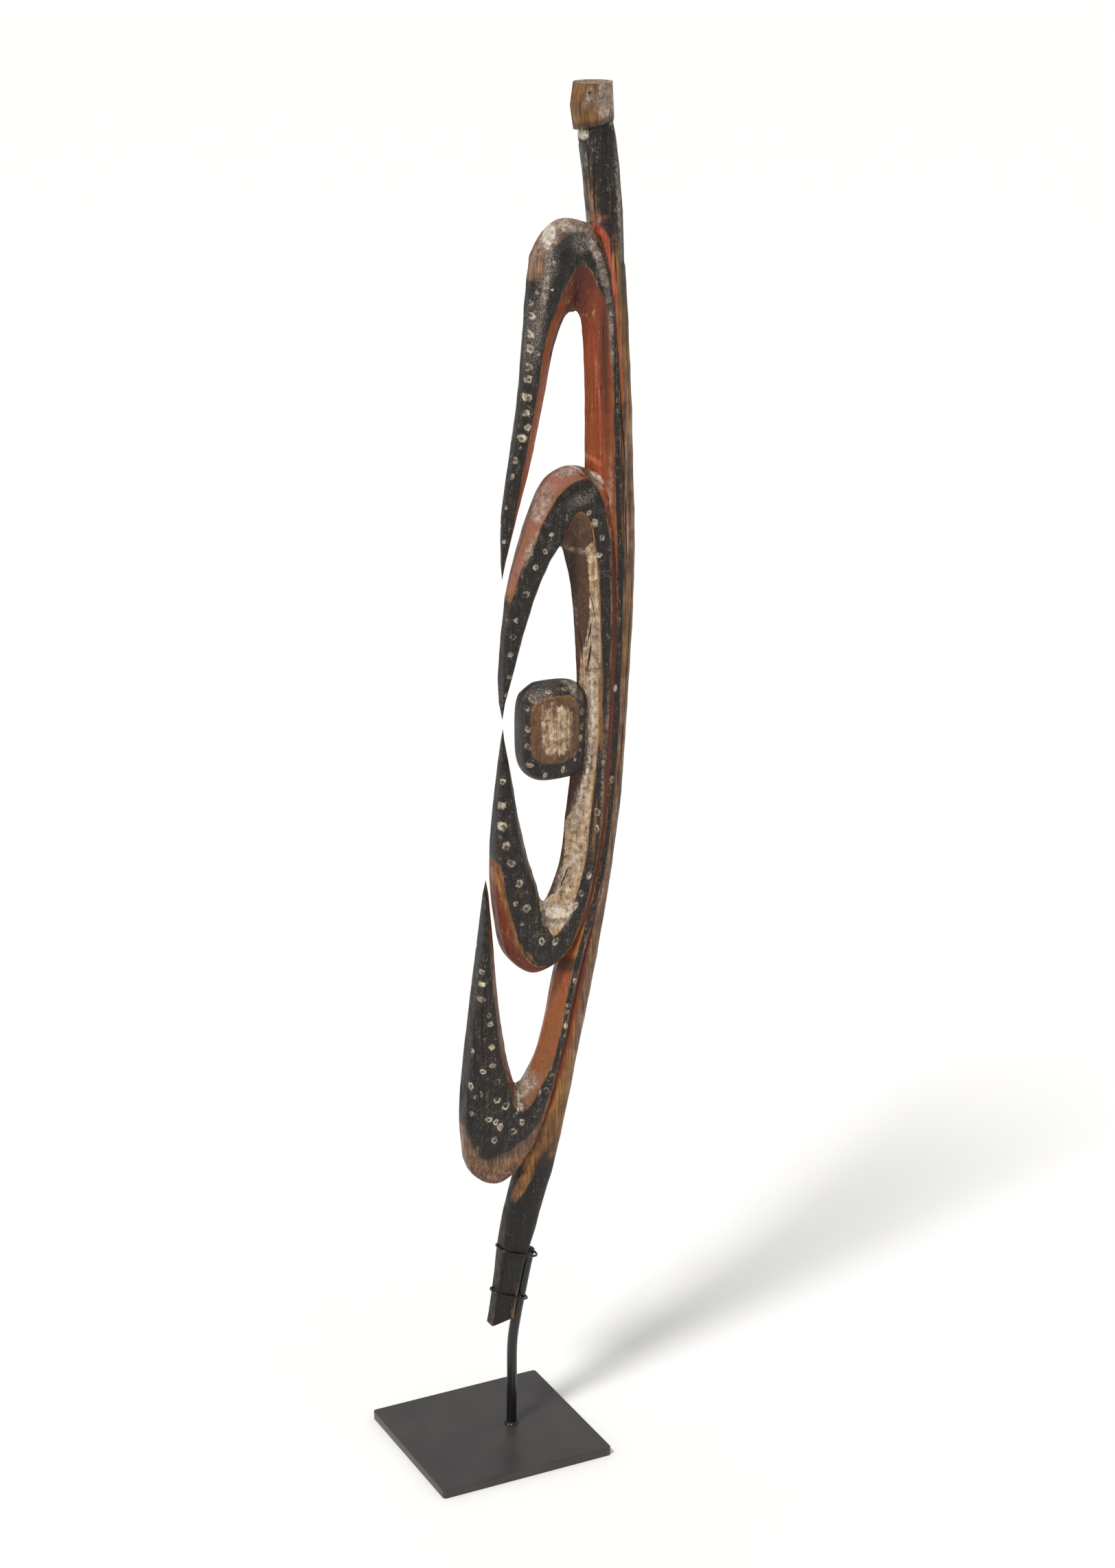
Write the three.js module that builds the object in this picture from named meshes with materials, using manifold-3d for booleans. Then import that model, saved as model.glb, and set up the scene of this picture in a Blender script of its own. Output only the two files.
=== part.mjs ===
import * as THREE from "three";
import { mergeVertices } from "three/addons/utils/BufferGeometryUtils.js";
import Module from "manifold-3d";

// A carved wooden hook figure held upright by a steel display stand.
// Millimetres, +Z up. The origin is the centre of the plate's underside.
// The figure is carved in the XZ plane: its hooks point to -X, its back is at +X.

// Stand
const plateWidth = 200;
const plateDepth = 188;
const plateThickness = 10;
const plateCornerRadius = 4;
const plateEdgeSoftening = 0.8;
const rodDiameter = 11;
const rodSides = 16;
const wireDiameter = 2.6;
const wireSides = 8;
const footClearance = 0.4;

// Rod's centre line in the XZ plane: straight up, then along the back of the leg
const rodCentreLine = [
  [25, plateThickness + footClearance],
  [25.8, 62],
  [26.8, 112],
  [31.9, 144],
  [37.8, 172],
  [43.6, 197],
  [49.5, 220],
];

// Wire rings round the leg and the rod: centre, reach in X and in Y
const upperRing = { x: 31.9, z: 220, reach: 24.6, depth: 15.3 };
const lowerRing = { x: 20.8, z: 170, reach: 23.6, depth: 11.4 };
const ringLean = THREE.MathUtils.degToRad(12.5);
const ringSquareness = 2.6;
const ringSteps = 36;

// Each limb of the carving is a list of stations from top to bottom:
// x and z of its centre, half its width in the profile, half its depth in Y
const backBow = [
  [121.5, 1420, 16, 16],
  [124, 1400, 18.2, 18],
  [128.8, 1366, 17.6, 18.5],
  [132, 1332, 17.2, 19],
  [135, 1290, 16.5, 20.5],
  [139.5, 1230, 15, 21.5],
  [145.3, 1150, 13.8, 22],
  [149, 1067, 13, 22],
  [151, 990, 13, 22.5],
  [149, 910, 13, 22.5],
  [144, 820, 13, 22],
  [138, 730, 13, 21.5],
  [129, 660, 13, 21],
  [116.5, 583, 13, 20.5],
  [103.5, 515, 13, 20],
  [88.5, 447, 13.5, 19],
  [73, 378, 15, 18],
  [57, 325, 19.5, 17],
  [45, 289, 20.5, 16],
  [33.5, 248, 18.8, 14.5],
  [25.4, 215, 14.9, 13],
  [20.5, 187, 13.6, 10.5],
  [14, 150, 12.8, 8],
  [9, 122, 12.5, 7.5],
];

// Each bent band of the carving runs from the tip of its upper hook, over the bend, down beside
// the back, round the lower bend and up to the tip of its lower hook. One row is one cut across
// the band: outer edge x and z, inner edge x and z, half its depth, and the share of its width
// that the inner bevel takes
const outerBand = [
  [18.5, 985, 24, 985, 3.5, 0.4],
  [20.5, 1030, 37, 1030, 10, 0.35],
  [30, 1085, 52.5, 1083, 14.5, 0.35],
  [39.5, 1142, 65.5, 1139, 17.5, 0.34],
  [46, 1205, 82, 1204, 20.5, 0.33],
  [49.5, 1252, 96, 1226, 21.5, 0.36],
  [61, 1295, 99.5, 1229, 22, 0.44],
  [86, 1318, 101, 1229.5, 22, 0.52],
  [118, 1313, 102.5, 1229, 22.5, 0.5],
  [134, 1275, 106, 1223, 23, 0.52],
  [140, 1220, 109, 1198, 23.5, 0.6],
  [145, 1150, 111, 1148, 24, 0.66],
  [149, 1060, 112, 1060, 24, 0.66],
  [150, 960, 122, 960, 24, 0.5],
  [147.5, 850, 123, 850, 23.5, 0.5],
  [142, 735, 117, 735, 23, 0.5],
  [128, 625, 101, 628, 22.5, 0.5],
  [112, 562, 84, 555, 22, 0.55],
  [97, 500, 70, 501, 21.5, 0.5],
  [84, 447, 53, 447, 21.5, 0.42],
  [69, 393, 40, 424, 21.5, 0.3],
  [47, 337, 34, 418, 21, 0.22],
  [10, 306, 32, 417, 20.5, 0.2],
  [-21, 322, 30, 419, 20.5, 0.22],
  [-31, 372, 27.5, 427, 21, 0.25],
  [-28.5, 428, 22, 449, 21, 0.28],
  [-22, 482, 16, 486, 19.5, 0.3],
  [-15.5, 535, 10.5, 537, 15.5, 0.3],
  [-9.5, 588, 5.5, 589, 10.5, 0.32],
  [-5.5, 635, 0.5, 635, 3.5, 0.4],
];
const innerBand = [
  [16.5, 838, 22.5, 838, 4, 0.4],
  [16, 872, 32, 871, 10, 0.35],
  [19.5, 915, 44.5, 914, 14.5, 0.35],
  [27.5, 957, 60.5, 954, 18, 0.34],
  [39, 998, 74, 981, 20.5, 0.36],
  [53, 1035, 81.5, 990.5, 21.5, 0.42],
  [73, 1064, 83.5, 992.5, 22, 0.5],
  [101, 1073, 85, 993, 22.5, 0.5],
  [128, 1060, 87, 989.5, 23.5, 0.49],
  [139, 1022, 90.5, 976, 24.5, 0.5],
  [143, 975, 95.5, 953, 25.5, 0.5],
  [144, 912, 100, 908, 25.5, 0.48],
  [142.5, 845, 103, 850, 25.5, 0.46],
  [139, 780, 101, 785, 25.5, 0.46],
  [132, 706, 92, 711, 25.5, 0.45],
  [121, 645, 84, 661, 25, 0.45],
  [107, 592, 74, 632, 24, 0.42],
  [86, 555, 67.5, 619.5, 23, 0.4],
  [50, 540, 65, 617, 22, 0.39],
  [22, 562, 62, 620, 22, 0.38],
  [8, 607, 56, 635, 21.5, 0.35],
  [4, 660, 46.5, 664, 19.5, 0.33],
  [6, 708, 36, 709, 16, 0.33],
  [11.5, 762, 26.5, 762, 9.5, 0.35],
  [16.5, 797, 20.5, 797, 3, 0.4],
];

// The points of the four hooks, x and z: upper and lower of each band
const outerTips = [[19.5, 966], [-2, 651]];
const innerTips = [[19, 820], [18.5, 811]];

// Cut across a band, front half: how far from the inner edge to the outer, as shares of the
// bevel and of what is left beyond it, and the share of the half depth there
const bandSection = [
  { bevel: 0.5, beyond: 0, depth: 0.58 },
  { bevel: 1, beyond: 0, depth: 0.96 },
  { bevel: 1, beyond: 0.4, depth: 1 },
  { bevel: 1, beyond: 0.78, depth: 0.82 },
  { bevel: 1, beyond: 1, depth: 0.36 },
];

// The knob between the two inner hooks is a rounded square boss, front and back alike
const knob = { x: 74, z: 801, halfWidth: 37, halfHeight: 51.5, squareness: 3.2 };

// Steps of the knob from its rim to its raised middle: share of the outline, half the depth there
const knobSteps = [
  [1, 5],
  [0.97, 13],
  [0.88, 19.5],
  [0.7, 22.5],
  [0.6, 24.5],
];
const knobCrown = 0.5;

// The head is a faceted drum with a slightly hollow top and a slanting underside
const headSides = 8;
const headTurn = THREE.MathUtils.degToRad(12);
const headStations = [
  { x: 120.5, z: 1450.5, radius: 21, slope: 0 },
  { x: 119.5, z: 1430, radius: 23, slope: 0.05 },
  { x: 121.5, z: 1411, radius: 21.5, slope: 0.26 },
  { x: 122, z: 1409, radius: 15, slope: 0.26 },
];
const headHollow = 2.5;
const headUndersideBulge = 1;

// The leg ends in a slanting saw cut
const legCutLow = [3, 139.5];
const legCutHigh = [30, 144.5];

const bowSides = 12;
const bowSquareness = 2.6;
const cutsPerStation = 2;
const knobSides = 20;
const rodSteps = 28;
const cornerSteps = 5;
const mergeDistance = 0.001;

const wasm = await Module();
wasm.setup();

// A cosine or sine pushed outwards: power 2 gives an ellipse, a higher power a squarer outline
function rounded(value, power) {
  return Math.sign(value) * Math.abs(value) ** (2 / power);
}

// Closed mesh from rings of equal length, with a single point beyond each end
function closedSkin(rings, firstPoint, lastPoint) {
  const sides = rings[0].length;
  const points = [firstPoint, ...rings.flat(), lastPoint];
  const last = points.length - 1;
  const faces = [];
  for (let k = 0; k < sides; k += 1) {
    const next = (k + 1) % sides;
    faces.push(0, 1 + next, 1 + k);
    faces.push(last, last - sides + k, last - sides + next);
    for (let r = 0; r < rings.length - 1; r += 1) {
      const a = 1 + r * sides + k;
      const b = 1 + r * sides + next;
      faces.push(a, b, a + sides);
      faces.push(b, b + sides, a + sides);
    }
  }
  const geometry = new THREE.BufferGeometry();
  const positions = points.flatMap((point) => point.toArray());
  geometry.setAttribute("position", new THREE.Float32BufferAttribute(positions, 3));
  geometry.setIndex(faces);
  return geometry;
}

// The curve through stations, in the plane of the carving
function planeCurve(points) {
  const knots = points.map(([x, z]) => new THREE.Vector3(x, 0, z));
  return new THREE.CatmullRomCurve3(knots, false, "centripetal");
}

// One column of the stations, read between them in straight lines
function between(values, t) {
  const place = t * (values.length - 1);
  const below = Math.min(Math.floor(place), values.length - 2);
  return THREE.MathUtils.lerp(values[below], values[below + 1], place - below);
}

// The back bow: squarish sections square to its centre line
function bowSkin(stations) {
  const centre = planeCurve(stations);
  const count = (stations.length - 1) * cutsPerStation;
  const rings = [];
  for (let i = 0; i <= count; i += 1) {
    const t = i / count;
    const tangent = centre.getTangent(t);
    const across = new THREE.Vector3(tangent.z, 0, -tangent.x);
    const halfWidth = between(stations.map((row) => row[2]), t);
    const halfDepth = between(stations.map((row) => row[3]), t);
    const ring = [];
    for (let k = 0; k < bowSides; k += 1) {
      const angle = (2 * Math.PI * k) / bowSides;
      const reach = halfWidth * rounded(Math.cos(angle), bowSquareness);
      const depth = halfDepth * rounded(Math.sin(angle), bowSquareness);
      ring.push(centre.getPoint(t).addScaledVector(across, reach).setY(depth));
    }
    rings.push(ring);
  }
  return closedSkin(rings, centre.getPoint(0), centre.getPoint(1));
}

// A bent band: each section spans from the inner edge to the outer edge, bevelled on the inner side
function bandSkin(stations, tips) {
  const outer = planeCurve(stations.map(([x, z]) => [x, z]));
  const inner = planeCurve(stations.map(([, , x, z]) => [x, z]));
  const count = (stations.length - 1) * cutsPerStation;
  const rings = [];
  for (let i = 0; i <= count; i += 1) {
    const t = i / count;
    const from = inner.getPoint(t);
    const to = outer.getPoint(t);
    const halfDepth = between(stations.map((row) => row[4]), t);
    const bevelShare = between(stations.map((row) => row[5]), t);
    const sectionPoint = ({ bevel, beyond, depth }, side) => {
      const share = bevel * bevelShare + beyond * (1 - bevelShare);
      return from.clone().lerp(to, share).setY(side * depth * halfDepth);
    };
    const front = bandSection.map((corner) => sectionPoint(corner, -1));
    const back = bandSection.map((corner) => sectionPoint(corner, 1));
    rings.push([from, ...back, ...front.toReversed()]);
  }
  const [firstTip, lastTip] = tips.map(([x, z]) => new THREE.Vector3(x, 0, z));
  return closedSkin(rings, firstTip, lastTip);
}

// The same rounded-square outline at several depths, front and back alike
function knobSkin() {
  const { x, z, halfWidth, halfHeight, squareness } = knob;
  const outline = (share, depth) => {
    const ring = [];
    for (let k = 0; k < knobSides; k += 1) {
      const angle = (-2 * Math.PI * k) / knobSides;
      const across = share * halfWidth * rounded(Math.cos(angle), squareness);
      const upward = share * halfHeight * rounded(Math.sin(angle), squareness);
      ring.push(new THREE.Vector3(x + across, depth, z + upward));
    }
    return ring;
  };
  const front = knobSteps.toReversed().map(([share, depth]) => outline(share, -depth));
  const back = knobSteps.map(([share, depth]) => outline(share, depth));
  const crownDepth = knobSteps.at(-1)[1] + knobCrown;
  const frontPoint = new THREE.Vector3(x, -crownDepth, z);
  const backPoint = new THREE.Vector3(x, crownDepth, z);
  return closedSkin([...front, ...back], frontPoint, backPoint);
}

// Eight-sided rings; slope lifts a ring towards the back of the figure
function headSkin() {
  const octagon = ({ x, z, radius, slope }) => {
    const ring = [];
    for (let k = 0; k < headSides; k += 1) {
      const angle = (2 * Math.PI * k) / headSides + headTurn;
      const reach = radius * Math.cos(angle);
      ring.push(new THREE.Vector3(x + reach, -radius * Math.sin(angle), z + slope * reach));
    }
    return ring;
  };
  const rings = headStations.map(octagon);
  const top = headStations[0];
  const bottom = headStations.at(-1);
  const topPoint = new THREE.Vector3(top.x, 0, top.z - headHollow);
  const bottomPoint = new THREE.Vector3(bottom.x, 0, bottom.z - headUndersideBulge);
  return closedSkin(rings, topPoint, bottomPoint);
}

function toSolid(geometry) {
  const bare = geometry.clone();
  bare.deleteAttribute("normal");
  bare.deleteAttribute("uv");
  const merged = mergeVertices(bare, mergeDistance);
  const vertProperties = new Float32Array(merged.attributes.position.array);
  const triVerts = new Uint32Array(merged.index.array);
  return new wasm.Manifold(new wasm.Mesh({ numProp: 3, vertProperties, triVerts }));
}

function toGeometry(solid) {
  const { vertProperties, triVerts } = solid.getMesh();
  const geometry = new THREE.BufferGeometry();
  geometry.setAttribute("position", new THREE.BufferAttribute(vertProperties, 3));
  geometry.setIndex(new THREE.BufferAttribute(triVerts, 1));
  return geometry;
}

// The whole carving is one piece of wood, so its limbs are joined to one solid
function figureGeometry() {
  const parts = [
    bowSkin(backBow),
    bandSkin(outerBand, outerTips),
    bandSkin(innerBand, innerTips),
    knobSkin(),
    headSkin(),
  ];
  const carving = parts.map(toSolid).reduce((whole, part) => whole.add(part));
  return toGeometry(carving.subtract(toSolid(belowLegGeometry())));
}

// The block of waste wood below the saw cut
function belowLegGeometry() {
  const slope = Math.atan2(legCutHigh[1] - legCutLow[1], legCutHigh[0] - legCutLow[0]);
  const size = 90;
  const block = new THREE.BoxGeometry(size, size, size).translate(0, 0, -size / 2);
  block.rotateY(-slope);
  return block.translate(legCutLow[0], 0, legCutLow[1]);
}

function plateGeometry() {
  const halfX = plateWidth / 2 - plateEdgeSoftening;
  const halfY = plateDepth / 2 - plateEdgeSoftening;
  const radius = plateCornerRadius - plateEdgeSoftening;
  const outline = new THREE.Shape();
  outline.absarc(halfX - radius, halfY - radius, radius, 0, Math.PI / 2);
  outline.absarc(radius - halfX, halfY - radius, radius, Math.PI / 2, Math.PI);
  outline.absarc(radius - halfX, radius - halfY, radius, Math.PI, 1.5 * Math.PI);
  outline.absarc(halfX - radius, radius - halfY, radius, 1.5 * Math.PI, 2 * Math.PI);
  const plate = new THREE.ExtrudeGeometry(outline, {
    depth: plateThickness - 2 * plateEdgeSoftening,
    bevelThickness: plateEdgeSoftening,
    bevelSize: plateEdgeSoftening,
    bevelSegments: 1,
    curveSegments: cornerSteps,
  });
  return plate.translate(0, 0, plateEdgeSoftening);
}

// Round bar carried along the rod's centre line
function rodGeometry() {
  const knots = rodCentreLine.map(([x, z]) => new THREE.Vector3(x, 0, z));
  const section = new THREE.Shape();
  section.absarc(0, 0, rodDiameter / 2, 0, 2 * Math.PI);
  return new THREE.ExtrudeGeometry(section, {
    extrudePath: new THREE.CatmullRomCurve3(knots),
    steps: rodSteps,
    curveSegments: rodSides / 2,
    bevelEnabled: false,
  });
}

// A wire ring: a squarish loop in a plane square to the leaning leg
function ringGeometry({ x, z, reach, depth }) {
  const wireRadius = wireDiameter / 2;
  const positions = [];
  const faces = [];
  for (let i = 0; i < ringSteps; i += 1) {
    const angle = (2 * Math.PI * i) / ringSteps;
    const along = reach * rounded(Math.cos(angle), ringSquareness);
    const side = depth * rounded(Math.sin(angle), ringSquareness);
    const outward = new THREE.Vector2(
      Math.cos(angle) / reach,
      Math.sin(angle) / depth,
    ).normalize();
    for (let k = 0; k < wireSides; k += 1) {
      const turn = (2 * Math.PI * k) / wireSides;
      const out = wireRadius * Math.cos(turn);
      positions.push(along + out * outward.x, side + out * outward.y, wireRadius * Math.sin(turn));
      const a = i * wireSides + k;
      const b = i * wireSides + ((k + 1) % wireSides);
      const onward = ((i + 1) % ringSteps) * wireSides - i * wireSides;
      faces.push(a, a + onward, b);
      faces.push(b, a + onward, b + onward);
    }
  }
  const geometry = new THREE.BufferGeometry();
  geometry.setAttribute("position", new THREE.Float32BufferAttribute(positions, 3));
  geometry.setIndex(faces);
  return geometry.rotateY(ringLean).translate(x, 0, z);
}

const paintedWood = { color: 0x3a2f28, roughness: 0.8, metalness: 0 };
const blackSteel = { color: 0x26241f, roughness: 0.45, metalness: 0.6 };

function named(name, geometry, finish) {
  geometry.computeVertexNormals();
  const mesh = new THREE.Mesh(geometry, new THREE.MeshStandardMaterial({ ...finish, flatShading: true }));
  mesh.name = name;
  return mesh;
}

const ancestorFigure = new THREE.Group();
ancestorFigure.name = "ancestor_figure";
ancestorFigure.add(named("figure", figureGeometry(), paintedWood));
ancestorFigure.add(named("base_plate", plateGeometry(), blackSteel));
ancestorFigure.add(named("support_rod", rodGeometry(), blackSteel));
ancestorFigure.add(named("upper_ring", ringGeometry(upperRing), blackSteel));
ancestorFigure.add(named("lower_ring", ringGeometry(lowerRing), blackSteel));

export default ancestorFigure;
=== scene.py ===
from functools import partial
from math import ceil, pi, radians

import bpy
import numpy as np
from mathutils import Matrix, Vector


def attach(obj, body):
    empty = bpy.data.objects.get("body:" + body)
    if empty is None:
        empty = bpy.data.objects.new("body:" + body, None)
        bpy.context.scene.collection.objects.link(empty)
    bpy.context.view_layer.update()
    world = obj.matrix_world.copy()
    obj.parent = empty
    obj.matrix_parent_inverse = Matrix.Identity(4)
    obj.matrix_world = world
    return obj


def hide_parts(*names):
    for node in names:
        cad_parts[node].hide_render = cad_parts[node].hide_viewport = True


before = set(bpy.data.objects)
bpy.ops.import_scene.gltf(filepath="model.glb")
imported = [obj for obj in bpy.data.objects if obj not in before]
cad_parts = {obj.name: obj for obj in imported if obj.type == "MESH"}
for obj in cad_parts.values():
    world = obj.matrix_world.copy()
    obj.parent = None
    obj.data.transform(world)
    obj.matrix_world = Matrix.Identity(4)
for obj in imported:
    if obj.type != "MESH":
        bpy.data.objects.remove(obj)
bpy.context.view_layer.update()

# Carved and painted hook figure on its steel stand. Lengths in the tables are millimetres.
mm = 0.001


# Camera, floor and light

viewSettings = {
    "place": (-1.2736, -2.6946, 1.7627),  # metres
    "azimuth": 26.7,                      # degrees from +Y towards +X
    "lookDown": 18.69,                    # degrees below the horizon
    "lens": 70.93,                        # for a long side of 36 mm
}


def linear(hexCode):
    # sRGB hex to linear: below 0.04045 a straight line, above it a power of 2.4
    parts = [int(hexCode[i:i + 2], 16) / 255 for i in (1, 3, 5)]
    return tuple(c / 12.92 if c <= 0.04045 else ((c + 0.055) / 1.055) ** 2.4 for c in parts) + (1.0,)


def addNode(tree, kind, links=None, stops=None, **settings):
    # stops are the places and sRGB hex colours of a colour ramp
    made = tree.nodes.new(kind)
    if stops:
        elements = made.color_ramp.elements
        elements.remove(elements[1])
        elements[0].position, elements[0].color = stops[0][0], linear(stops[0][1])
        for place, hexCode in stops[1:]:
            elements.new(place).color = linear(hexCode)
    for name, value in settings.items():
        setattr(made, name, value)
    for name, value in (links or {}).items():
        if isinstance(value, bpy.types.NodeSocket):
            tree.links.new(value, made.inputs[name])
        else:
            made.inputs[name].default_value = value
    return made


def newMaterial(name):
    material = bpy.data.materials.new(name)
    material.use_nodes = True
    material.node_tree.nodes.clear()
    return material, material.node_tree


def makeCamera(s):
    data = bpy.data.cameras.new("camera")
    data.lens = s["lens"]
    data.sensor_width = 36
    data.clip_end = 100
    camera = bpy.data.objects.new("camera", data)
    bpy.context.scene.collection.objects.link(camera)
    camera.location = s["place"]
    camera.rotation_euler = (radians(90 - s["lookDown"]), 0, radians(-s["azimuth"]))
    bpy.context.scene.camera = camera


def makeStudio():
    s = {"floorSize": 60, "floor": "#fbfaf8", "skyStrength": 0.56,
         "sunFrom": (-0.885, -0.465, 1.4), "sunStrength": 2.0, "sunSpread": radians(11)}
    bpy.context.scene.view_settings.view_transform = "Standard"   # white paper stays white
    mesh = bpy.data.meshes.new("studio_floor")
    h = s["floorSize"] / 2
    mesh.from_pydata([(-h, -h, 0), (h, -h, 0), (h, h, 0), (-h, h, 0)], [], [(0, 1, 2, 3)])
    floor = bpy.data.objects.new("studio_floor", mesh)
    bpy.context.scene.collection.objects.link(floor)
    material, tree = newMaterial("white paper sweep")
    shader = addNode(tree, "ShaderNodeBsdfPrincipled", {"Base Color": linear(s["floor"]), "Roughness": 0.9})
    addNode(tree, "ShaderNodeOutputMaterial", {"Surface": shader.outputs[0]})
    mesh.materials.append(material)

    world = bpy.data.worlds.new("studio")
    world.use_nodes = True
    world.node_tree.nodes["Background"].inputs["Color"].default_value = (1, 1, 1, 1)
    world.node_tree.nodes["Background"].inputs["Strength"].default_value = s["skyStrength"]
    bpy.context.scene.world = world

    # a broad light high on the left in front; its wide spread keeps the shadows soft
    data = bpy.data.lights.new("key", "SUN")
    data.energy = s["sunStrength"]
    data.angle = s["sunSpread"]
    key = bpy.data.objects.new("key", data)
    bpy.context.scene.collection.objects.link(key)
    key.rotation_euler = Vector(s["sunFrom"]).to_track_quat("Z", "Y").to_euler()


makeCamera(viewSettings)
makeStudio()
print("camera, floor and light in place")


# Surfaces

def curveThrough(knots, at):
    # Centripetal Catmull-Rom curve; at is a knot's number with its fraction
    knots = np.asarray(knots, float)
    padded = np.vstack([2 * knots[0] - knots[1], knots, 2 * knots[-1] - knots[-2]])
    first = np.clip(np.floor(at).astype(int), 0, len(knots) - 2)
    w = (at - first)[:, None]
    p0, p1, p2, p3 = (padded[first + k] for k in range(4))
    gap = [np.sqrt(np.linalg.norm(b - a, axis=1))[:, None] for a, b in ((p0, p1), (p1, p2), (p2, p3))]
    d0, d1, d2 = (np.maximum(g, 1e-3) for g in gap)
    m1 = d1 * ((p1 - p0) / d0 - (p2 - p0) / (d0 + d1) + (p2 - p1) / d1)
    m2 = d1 * ((p2 - p1) / d1 - (p3 - p1) / (d1 + d2) + (p3 - p2) / d2)
    return p1 + m1 * w + (3 * (p2 - p1) - 2 * m1 - m2) * w**2 + (2 * (p1 - p2) + m1 + m2) * w**3


def runOf(points):
    # Length along a line of points, from its first
    return np.concatenate([[0], np.cumsum(np.linalg.norm(np.diff(points, axis=0), axis=1))])


def eased(values, passes):
    # Neighbours averaged one quarter, half, one quarter, ends kept
    values = values.copy()
    for _ in range(passes):
        values[1:-1] = (values[:-2] + 2 * values[1:-1] + values[2:]) / 4
    return values


def rounded(value, power):
    return np.sign(value) * np.abs(value) ** (2 / power)


def adzeMarks(run, girth, length, width, seed):
    # Shallow hollows: squared distance to the nearest of one scattered point in each cell of a slanted grid
    u, v = run / length + 0.35 * girth / width, girth / width
    cu, cv = np.floor(u), np.floor(v)
    best = np.full(u.shape, 9.0)
    for du in (-1, 0, 1):
        for dv in (-1, 0, 1):
            a, b = cu + du, cv + dv
            ja = np.modf(np.sin(a * 127.1 + b * 311.7 + seed) * 43758.5453)[0]
            jb = np.modf(np.sin(a * 269.5 + b * 183.3 + seed) * 24634.6345)[0]
            best = np.minimum(best, (u - a - 0.5 - 0.35 * ja) ** 2 + (v - b - 0.5 - 0.35 * jb) ** 2)
    return np.clip(best, 0, 1)


def outwardNormals(grid):
    # Cross product of the differences along the rings and around them
    along = np.gradient(grid, axis=0)
    around = np.roll(grid, -1, axis=1) - np.roll(grid, 1, axis=1)
    n = np.cross(around, along)
    return n / np.maximum(np.linalg.norm(n, axis=2, keepdims=True), 1e-9)


def closedMesh(name, rings, first, last, fields):
    # Rings joined by four-cornered faces and closed by a point at each end; fields hold a value for each vertex
    count, sides = rings.shape[:2]
    points = np.vstack([np.asarray(first)[None], rings.reshape(-1, 3), np.asarray(last)[None]]) * mm
    r, k = np.meshgrid(np.arange(count - 1), np.arange(sides), indexing="ij")
    a = 1 + r * sides + k
    b = 1 + r * sides + (k + 1) % sides
    quads = np.stack([a, b, b + sides, a + sides], -1).reshape(-1, 4)
    k = np.arange(sides)
    n = (k + 1) % sides
    end = len(points) - 1
    caps = np.vstack([
        np.stack([0 * k, 1 + n, 1 + k], -1),
        np.stack([0 * k + end, end - sides + k, end - sides + n], -1),
    ])
    mesh = bpy.data.meshes.new(name)
    mesh.from_pydata(points.tolist(), [], quads.tolist() + caps.tolist())
    corner = np.zeros(len(mesh.loops), np.int32)
    mesh.loops.foreach_get("vertex_index", corner)
    for field, values in fields.items():
        flat = np.vstack([values[0].mean(0)[None], values.reshape(-1, 3), values[-1].mean(0)[None]])
        layer = mesh.attributes.new(field, "FLOAT_VECTOR", "CORNER")
        layer.data.foreach_set("vector", flat[corner].astype(np.float32).ravel())
    return mesh


def addPiece(name, mesh, materials, nodes):
    piece = bpy.data.objects.new(name, mesh)
    bpy.context.scene.collection.objects.link(piece)
    for material in materials:
        mesh.materials.append(material)
    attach(piece, "root")
    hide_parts(*nodes)
    return piece


# Carving

carving = {
    "step": 2.6,            # distance between rings along a limb
    "bowSides": 40,
    "bowSquareness": ([150, 190, 270], [9, 5, 2.6]),   # at heights along the leg
    "adzeDepth": 1.1,
    "adzeLength": 34,
    "adzeWidth": 14,
    "noCoat": -6.0,         # a coat's distance field where that coat is nowhere near
}

# Back bow from the head to the foot: x and z of its centre, half width, half depth
backBow = np.array([
    [121.5, 1420, 16, 16], [124, 1400, 18.2, 18], [128.8, 1366, 17.6, 18.5], [132, 1332, 17.2, 19],
    [135, 1290, 16.5, 20.5], [139.5, 1230, 15, 21.5], [145.3, 1150, 13.8, 22], [149, 1067, 13, 22],
    [151, 990, 13, 22.5], [149, 910, 13, 22.5], [144, 820, 13, 22], [138, 730, 13, 21.5],
    [129, 660, 13, 21], [116.5, 583, 13, 20.5], [103.5, 515, 13, 20], [88.5, 447, 13.5, 19],
    [73, 378, 15, 18], [57, 325, 19.5, 17], [45, 289, 20.5, 16], [33.5, 248, 18.8, 14.5],
    [25.4, 215, 14.9, 13], [20.5, 187, 13.6, 10.5], [14, 150, 12.8, 8], [9, 122, 12.5, 7.5],
])

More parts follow.
